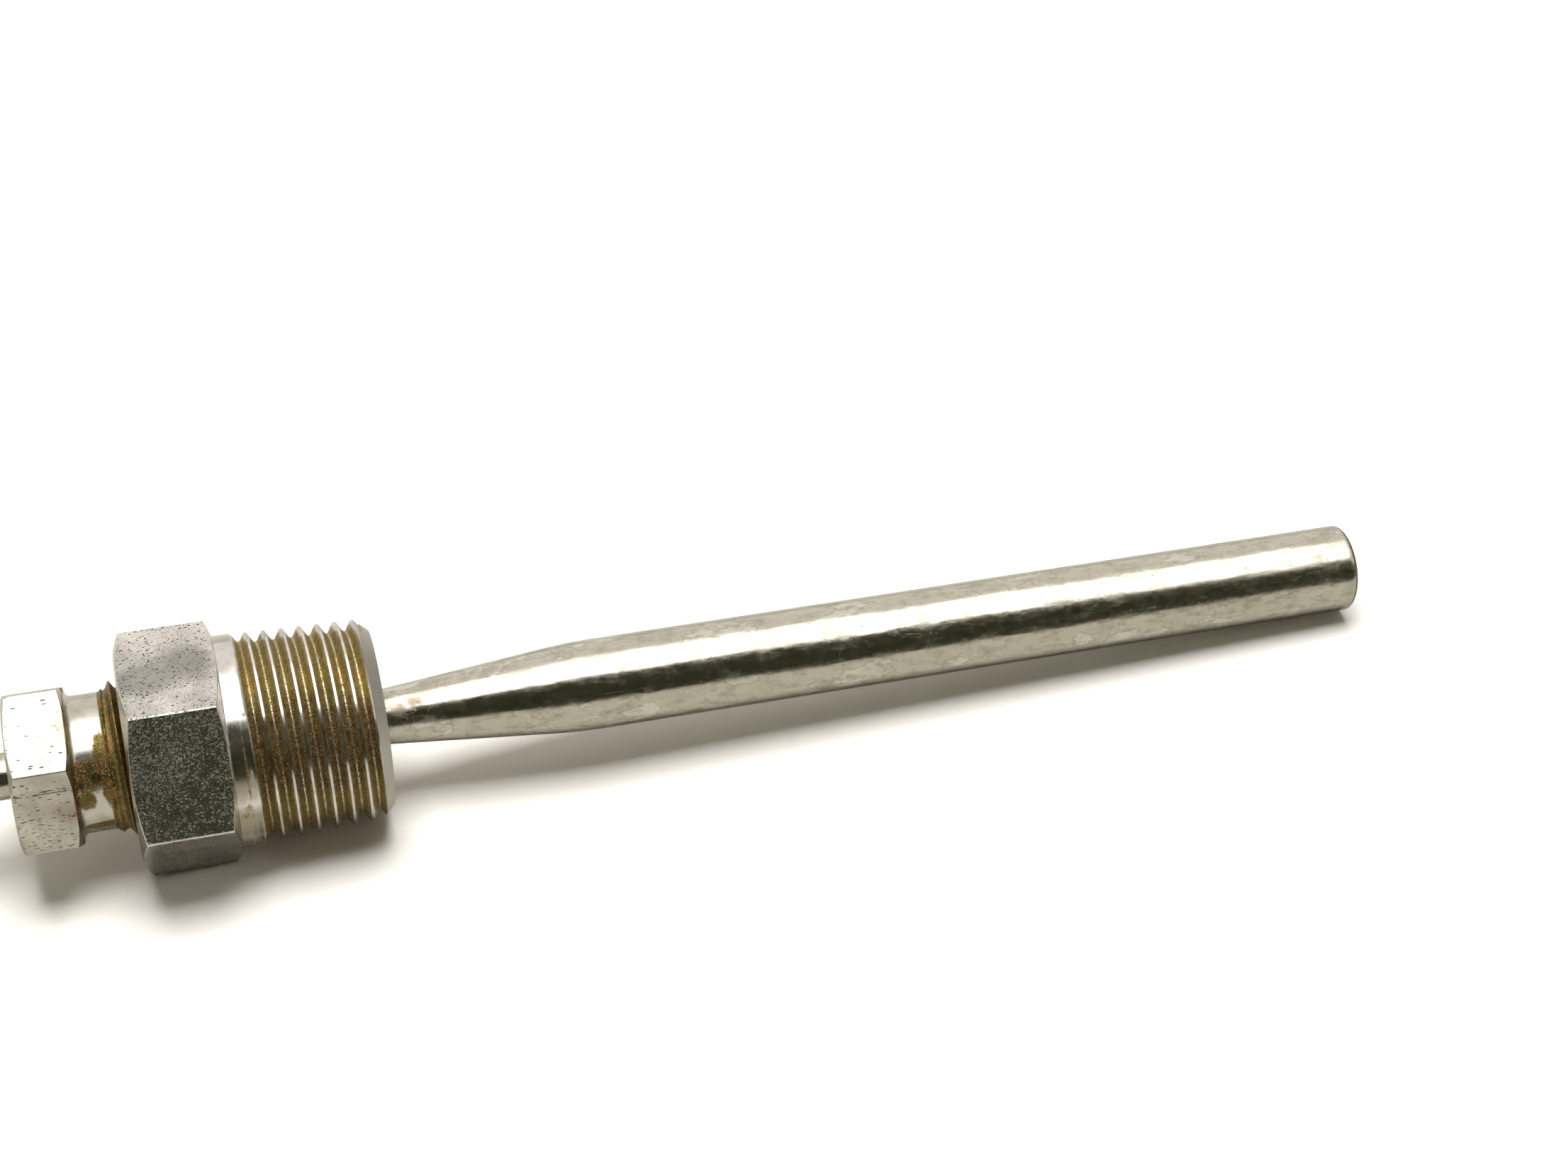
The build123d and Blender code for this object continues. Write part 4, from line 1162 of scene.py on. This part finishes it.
WATER_RANGE, MOTTLE_RANGE = (0.48, 0.62), (0.46, 0.62)
SMEAR_LEAST = 0.4
RIM_IN, RIM_OUT = (0.53, 0.56), (0.56, 0.60)
TIP_RIM = (TIP - 0.5) * MM, (TIP - 0.25) * MM
TUBE_WAVE, TUBE_CLOUD, TUBE_GRAIN = (120.0, 0.35), (260.0, 0.5), (2600.0, 0.05)
TUBE_SPECK, TUBE_SMEAR, TUBE_MOTTLE = (2400.0, 0.4), (1300.0, 0.35), (420.0, 5.0, 0.7)
SMEAR_PATCH_SCALE, LINE_PATCH_SCALE = 210.0, 170.0
TUBE_ROUGH = 0.12, 0.20
TUBE_DEPTHS = 0.14, 0.008, 0.003, 0.004, 0.03, 0.003


def thin_lines(graph, where, stretch, turn, scale, width):
    """Sparse thin lines: where a noise in turned, stretched space is close to a half."""
    turned_space = graph.add("Mapping", vector_type="POINT", Rotation=turn, Scale=stretch)
    graph.give(where, turned_space.inputs["Vector"])
    offset = graph.minus(noise(graph, turned_space.outputs[0], scale, 1.0), 0.5)
    return graph.ramp(graph.maths("ABSOLUTE", offset), 0.0, width, 1.0, 0.0)


def make_tube_steel():
    material, shader, graph, where = new_material("tube_steel")
    wave = streaky(graph, where, *TUBE_WAVE)
    cloud = streaky(graph, where, *TUBE_CLOUD)
    grain = streaky(graph, where, *TUBE_GRAIN)
    speck = streaky(graph, where, *TUBE_SPECK)
    smear = streaky(graph, where, *TUBE_SMEAR)
    smear = graph.times(graph.ramp(smear, *SMEAR_RANGE),
                        graph.ramp(noise(graph, where, SMEAR_PATCH_SCALE), *SMEAR_PATCHES, SMEAR_LEAST, 1.0))
    water = graph.ramp(cloud, *WATER_RANGE)
    rim = graph.times(graph.ramp(cloud, *RIM_IN), graph.ramp(cloud, *RIM_OUT, 1.0, 0.0))
    mottle = graph.ramp(noise(graph, where, *TUBE_MOTTLE), *MOTTLE_RANGE)
    few = placed(graph, pits, vector=where, **TUBE_PITS)[0]
    spots = stained(graph, where, **TAPER_SPOTS)
    lines = graph.larger(thin_lines(graph, where, **LONG_LINES), thin_lines(graph, where, **CROSS_LINES))
    lines = graph.times(lines, graph.ramp(noise(graph, where, LINE_PATCH_SCALE), *LINES_SHOW))

    at_tip = graph.ramp(graph.parts(where)[0], *TIP_RIM)
    colour = graph.layered(
        graph.mixed(water, TUBE_DULL, TUBE_PALE), (rim, 0.4, WATER_RIM), (mottle, 0.24, MOTTLE_OLIVE),
        (smear, 0.35, SMEAR_TAN), (at_tip, 0.85, TIP_BROWN), (spots, 0.6, SPOT_BROWN),
        (few, 0.8, PIT_BLACK))
    rough = graph.spread(speck, *TUBE_ROUGH)
    for mask, more in ((water, 0.03), (smear, 0.10), (spots, 0.2), (lines, 0.2)):
        rough = graph.plus(rough, graph.times(mask, more))
    finished(graph, shader, colour, rough,
             (wave, cloud, grain, speck, graph.less(few), graph.less(lines)), TUBE_DEPTHS)
    return material


tube_steel = make_tube_steel()
tube_mesh.materials.append(tube_steel)
print("material:", tube_steel.name)

# %% [markdown]
# The rest of the object is past the picture's left edge or inside. Those pieces keep
# their CAD shapes, and each gets the finish that such a piece has. Turned pieces show
# lathe rings and a slight tarnish, drawn wire shows lines along it, and the two pins
# are the two alloys of the pair, so one is a little yellower than the other.

# %% Turned and drawn metals
METAL_PITS = {"scale": 3000.0, "size": 0.2, "share": 0.12, "patch_scale": 300.0}
RING_SCALE, WIRE_SCALE, WIRE_SQUEEZE, METAL_CLOUD = 6000.0, 5000.0, 0.04, 420.0
TARNISH_RANGE = 0.35, 0.7
PIT_SHADE = 0.3
SMOOTHER, ROUGHER, MARKS_ROUGH = 0.05, 0.07, 0.06
METAL_DEPTHS = 0.003, 0.02


def make_turned_metal(name, colour, tarnish, roughness, lines):
    """A turned or drawn metal. lines is rings for a lathe finish, or streaks for a drawn one."""
    material, shader, graph, where = new_material(name)
    if lines is rings:
        marks = placed(graph, rings, vector=where, scale=RING_SCALE)[0]
    else:
        marks = streaky(graph, where, WIRE_SCALE, WIRE_SQUEEZE)
    cloud = streaky(graph, where, METAL_CLOUD)
    few = placed(graph, pits, vector=where, **METAL_PITS)[0]
    metal = graph.mixed(graph.ramp(cloud, *TARNISH_RANGE), colour, tarnish)
    rough = graph.spread(cloud, roughness - SMOOTHER, roughness + ROUGHER)
    pitted = graph.layered(metal, (few, 0.6, tuple(c * PIT_SHADE for c in colour)))
    finished(graph, shader, pitted, graph.plus(rough, graph.times(marks, MARKS_ROUGH)),
             (marks, graph.less(few)), METAL_DEPTHS)
    return material


METALS = {
    "inner_steel": ((0.56, 0.55, 0.54), (0.44, 0.42, 0.39), 0.30, rings),
    "plated_brass": ((0.66, 0.53, 0.27), (0.50, 0.37, 0.17), 0.28, rings),
    "positive_alloy": ((0.60, 0.58, 0.54), (0.47, 0.44, 0.39), 0.26, streaks),
    "negative_alloy": ((0.60, 0.51, 0.39), (0.46, 0.37, 0.26), 0.26, streaks),
    "screw_steel": ((0.62, 0.63, 0.64), (0.52, 0.51, 0.45), 0.33, rings),
}
finishes = {name: make_turned_metal(name, *values) for name, values in METALS.items()}
print("metals:", ", ".join(finishes))

# %% [markdown]
# The connector is moulded in a dark plastic. Its mould was spark eroded, which leaves a
# fine matt grain, and handling polishes that grain in patches. The sealing rings are a
# pressed white resin with a few fibres in it, the insulation is a packed white powder,
# and the potting at the stem's end is a cast resin, smooth with small bubbles.

# %% Plastics, packing and insulation
DUST = {"scale": 2600.0, "size": 0.13, "share": 0.3, "patch_scale": 180.0}
CRUMBS = {"scale": 5000.0, "size": 0.4, "share": 0.5, "patch_scale": 400.0}
BUBBLES = {"scale": 2600.0, "size": 0.22, "share": 0.35, "patch_scale": 500.0}
HOUSING_COLOURS = (0.022, 0.021, 0.020), (0.036, 0.034, 0.032), (0.16, 0.15, 0.14)
PACKING_COLOURS = (0.70, 0.69, 0.64), (0.80, 0.79, 0.75), (0.40, 0.36, 0.28)
POWDER_COLOURS = (0.74, 0.73, 0.69), (0.86, 0.85, 0.82), (0.58, 0.56, 0.50)
RESIN_COLOURS = (0.075, 0.022, 0.010), (0.14, 0.045, 0.020), (0.02, 0.008, 0.005)
SPARK, WORN, GRIME = (4200.0, 2.0), (160.0, 4.0), (500.0, 4.0)
POWDER, SWIRL = (9000.0, 3.0), (700.0, 4.0)
FIBRE_STRETCH, FIBRE_SCALE = (1.0, 0.2, 0.2), 3000.0
WORN_RANGE, WORN_ROUGH = (0.35, 0.65), (0.58, 0.42)
FIBRE_RANGE, GRIME_RANGE = (0.35, 0.65), (0.55, 0.75)
PACKING_ROUGH, POWDER_ROUGH, RESIN_ROUGH = (0.42, 0.55), (0.85, 0.95), (0.18, 0.32)


def two_toned(graph, tone, spots, share, colours):
    """Two colours mixed by a tone, with the third one on the spots."""
    low, high, spot = colours
    return graph.layered(graph.mixed(tone, low, high), (spots, share, spot))


def make_housing():
    material, shader, graph, where = new_material("housing", metallic=0.0)
    spark, worn = noise(graph, where, *SPARK), noise(graph, where, *WORN)
    dust = placed(graph, pits, vector=where, **DUST)[0]
    colour = two_toned(graph, graph.spread(worn), dust, 0.5, HOUSING_COLOURS)
    finished(graph, shader, colour, graph.ramp(worn, *WORN_RANGE, *WORN_ROUGH),
             (spark, worn), (0.018, 0.02))
    return material


def make_packing():
    material, shader, graph, where = new_material("packing", metallic=0.0)
    fibre = placed(graph, streaks, vector=where, stretch=FIBRE_STRETCH, scale=FIBRE_SCALE)[0]
    grime = noise(graph, where, *GRIME)
    colour = two_toned(graph, graph.ramp(fibre, *FIBRE_RANGE), graph.ramp(grime, *GRIME_RANGE), 0.5,
                       PACKING_COLOURS)
    finished(graph, shader, colour, graph.spread(grime, *PACKING_ROUGH), (fibre, grime), (0.02, 0.03))
    return material


def make_insulation():
    material, shader, graph, where = new_material("insulation", metallic=0.0)
    powder = noise(graph, where, *POWDER)
    crumbs = placed(graph, pits, vector=where, **CRUMBS)[0]
    colour = two_toned(graph, graph.spread(powder), crumbs, 0.4, POWDER_COLOURS)
    finished(graph, shader, colour, graph.spread(powder, *POWDER_ROUGH),
             (powder, graph.less(crumbs)), (0.02, 0.03))
    return material


def make_seal():
    material, shader, graph, where = new_material("seal", metallic=0.0)
    swirl = noise(graph, where, *SWIRL)
    bubbles = placed(graph, pits, vector=where, **BUBBLES)[0]
    colour = two_toned(graph, graph.spread(swirl), bubbles, 0.6, RESIN_COLOURS)
    finished(graph, shader, colour, graph.spread(swirl, *RESIN_ROUGH),
             (graph.less(bubbles), swirl), (0.05, 0.02))
    return material


finishes.update({"housing": make_housing(), "packing": make_packing(), "insulation": make_insulation(),
                 "seal": make_seal(), "fitting_steel": fitting_steel, "gland_steel": gland_steel,
                 "tube_steel": tube_steel})
print("finishes:", len(finishes))

# %% [markdown]
# The record already says which finish each CAD node has. So the finishes are given out
# from it in one loop, and a node that is added later can't be forgotten.

# %% Finishes on the CAD nodes
slot_of = {row["node"]: row["material_slot"] for row in frame["record"]["subparts"]}
for name, node in nodes.items():
    node.data.materials.clear()
    node.data.materials.append(finishes[slot_of[name]])
print("finished:", len(nodes), "CAD nodes")
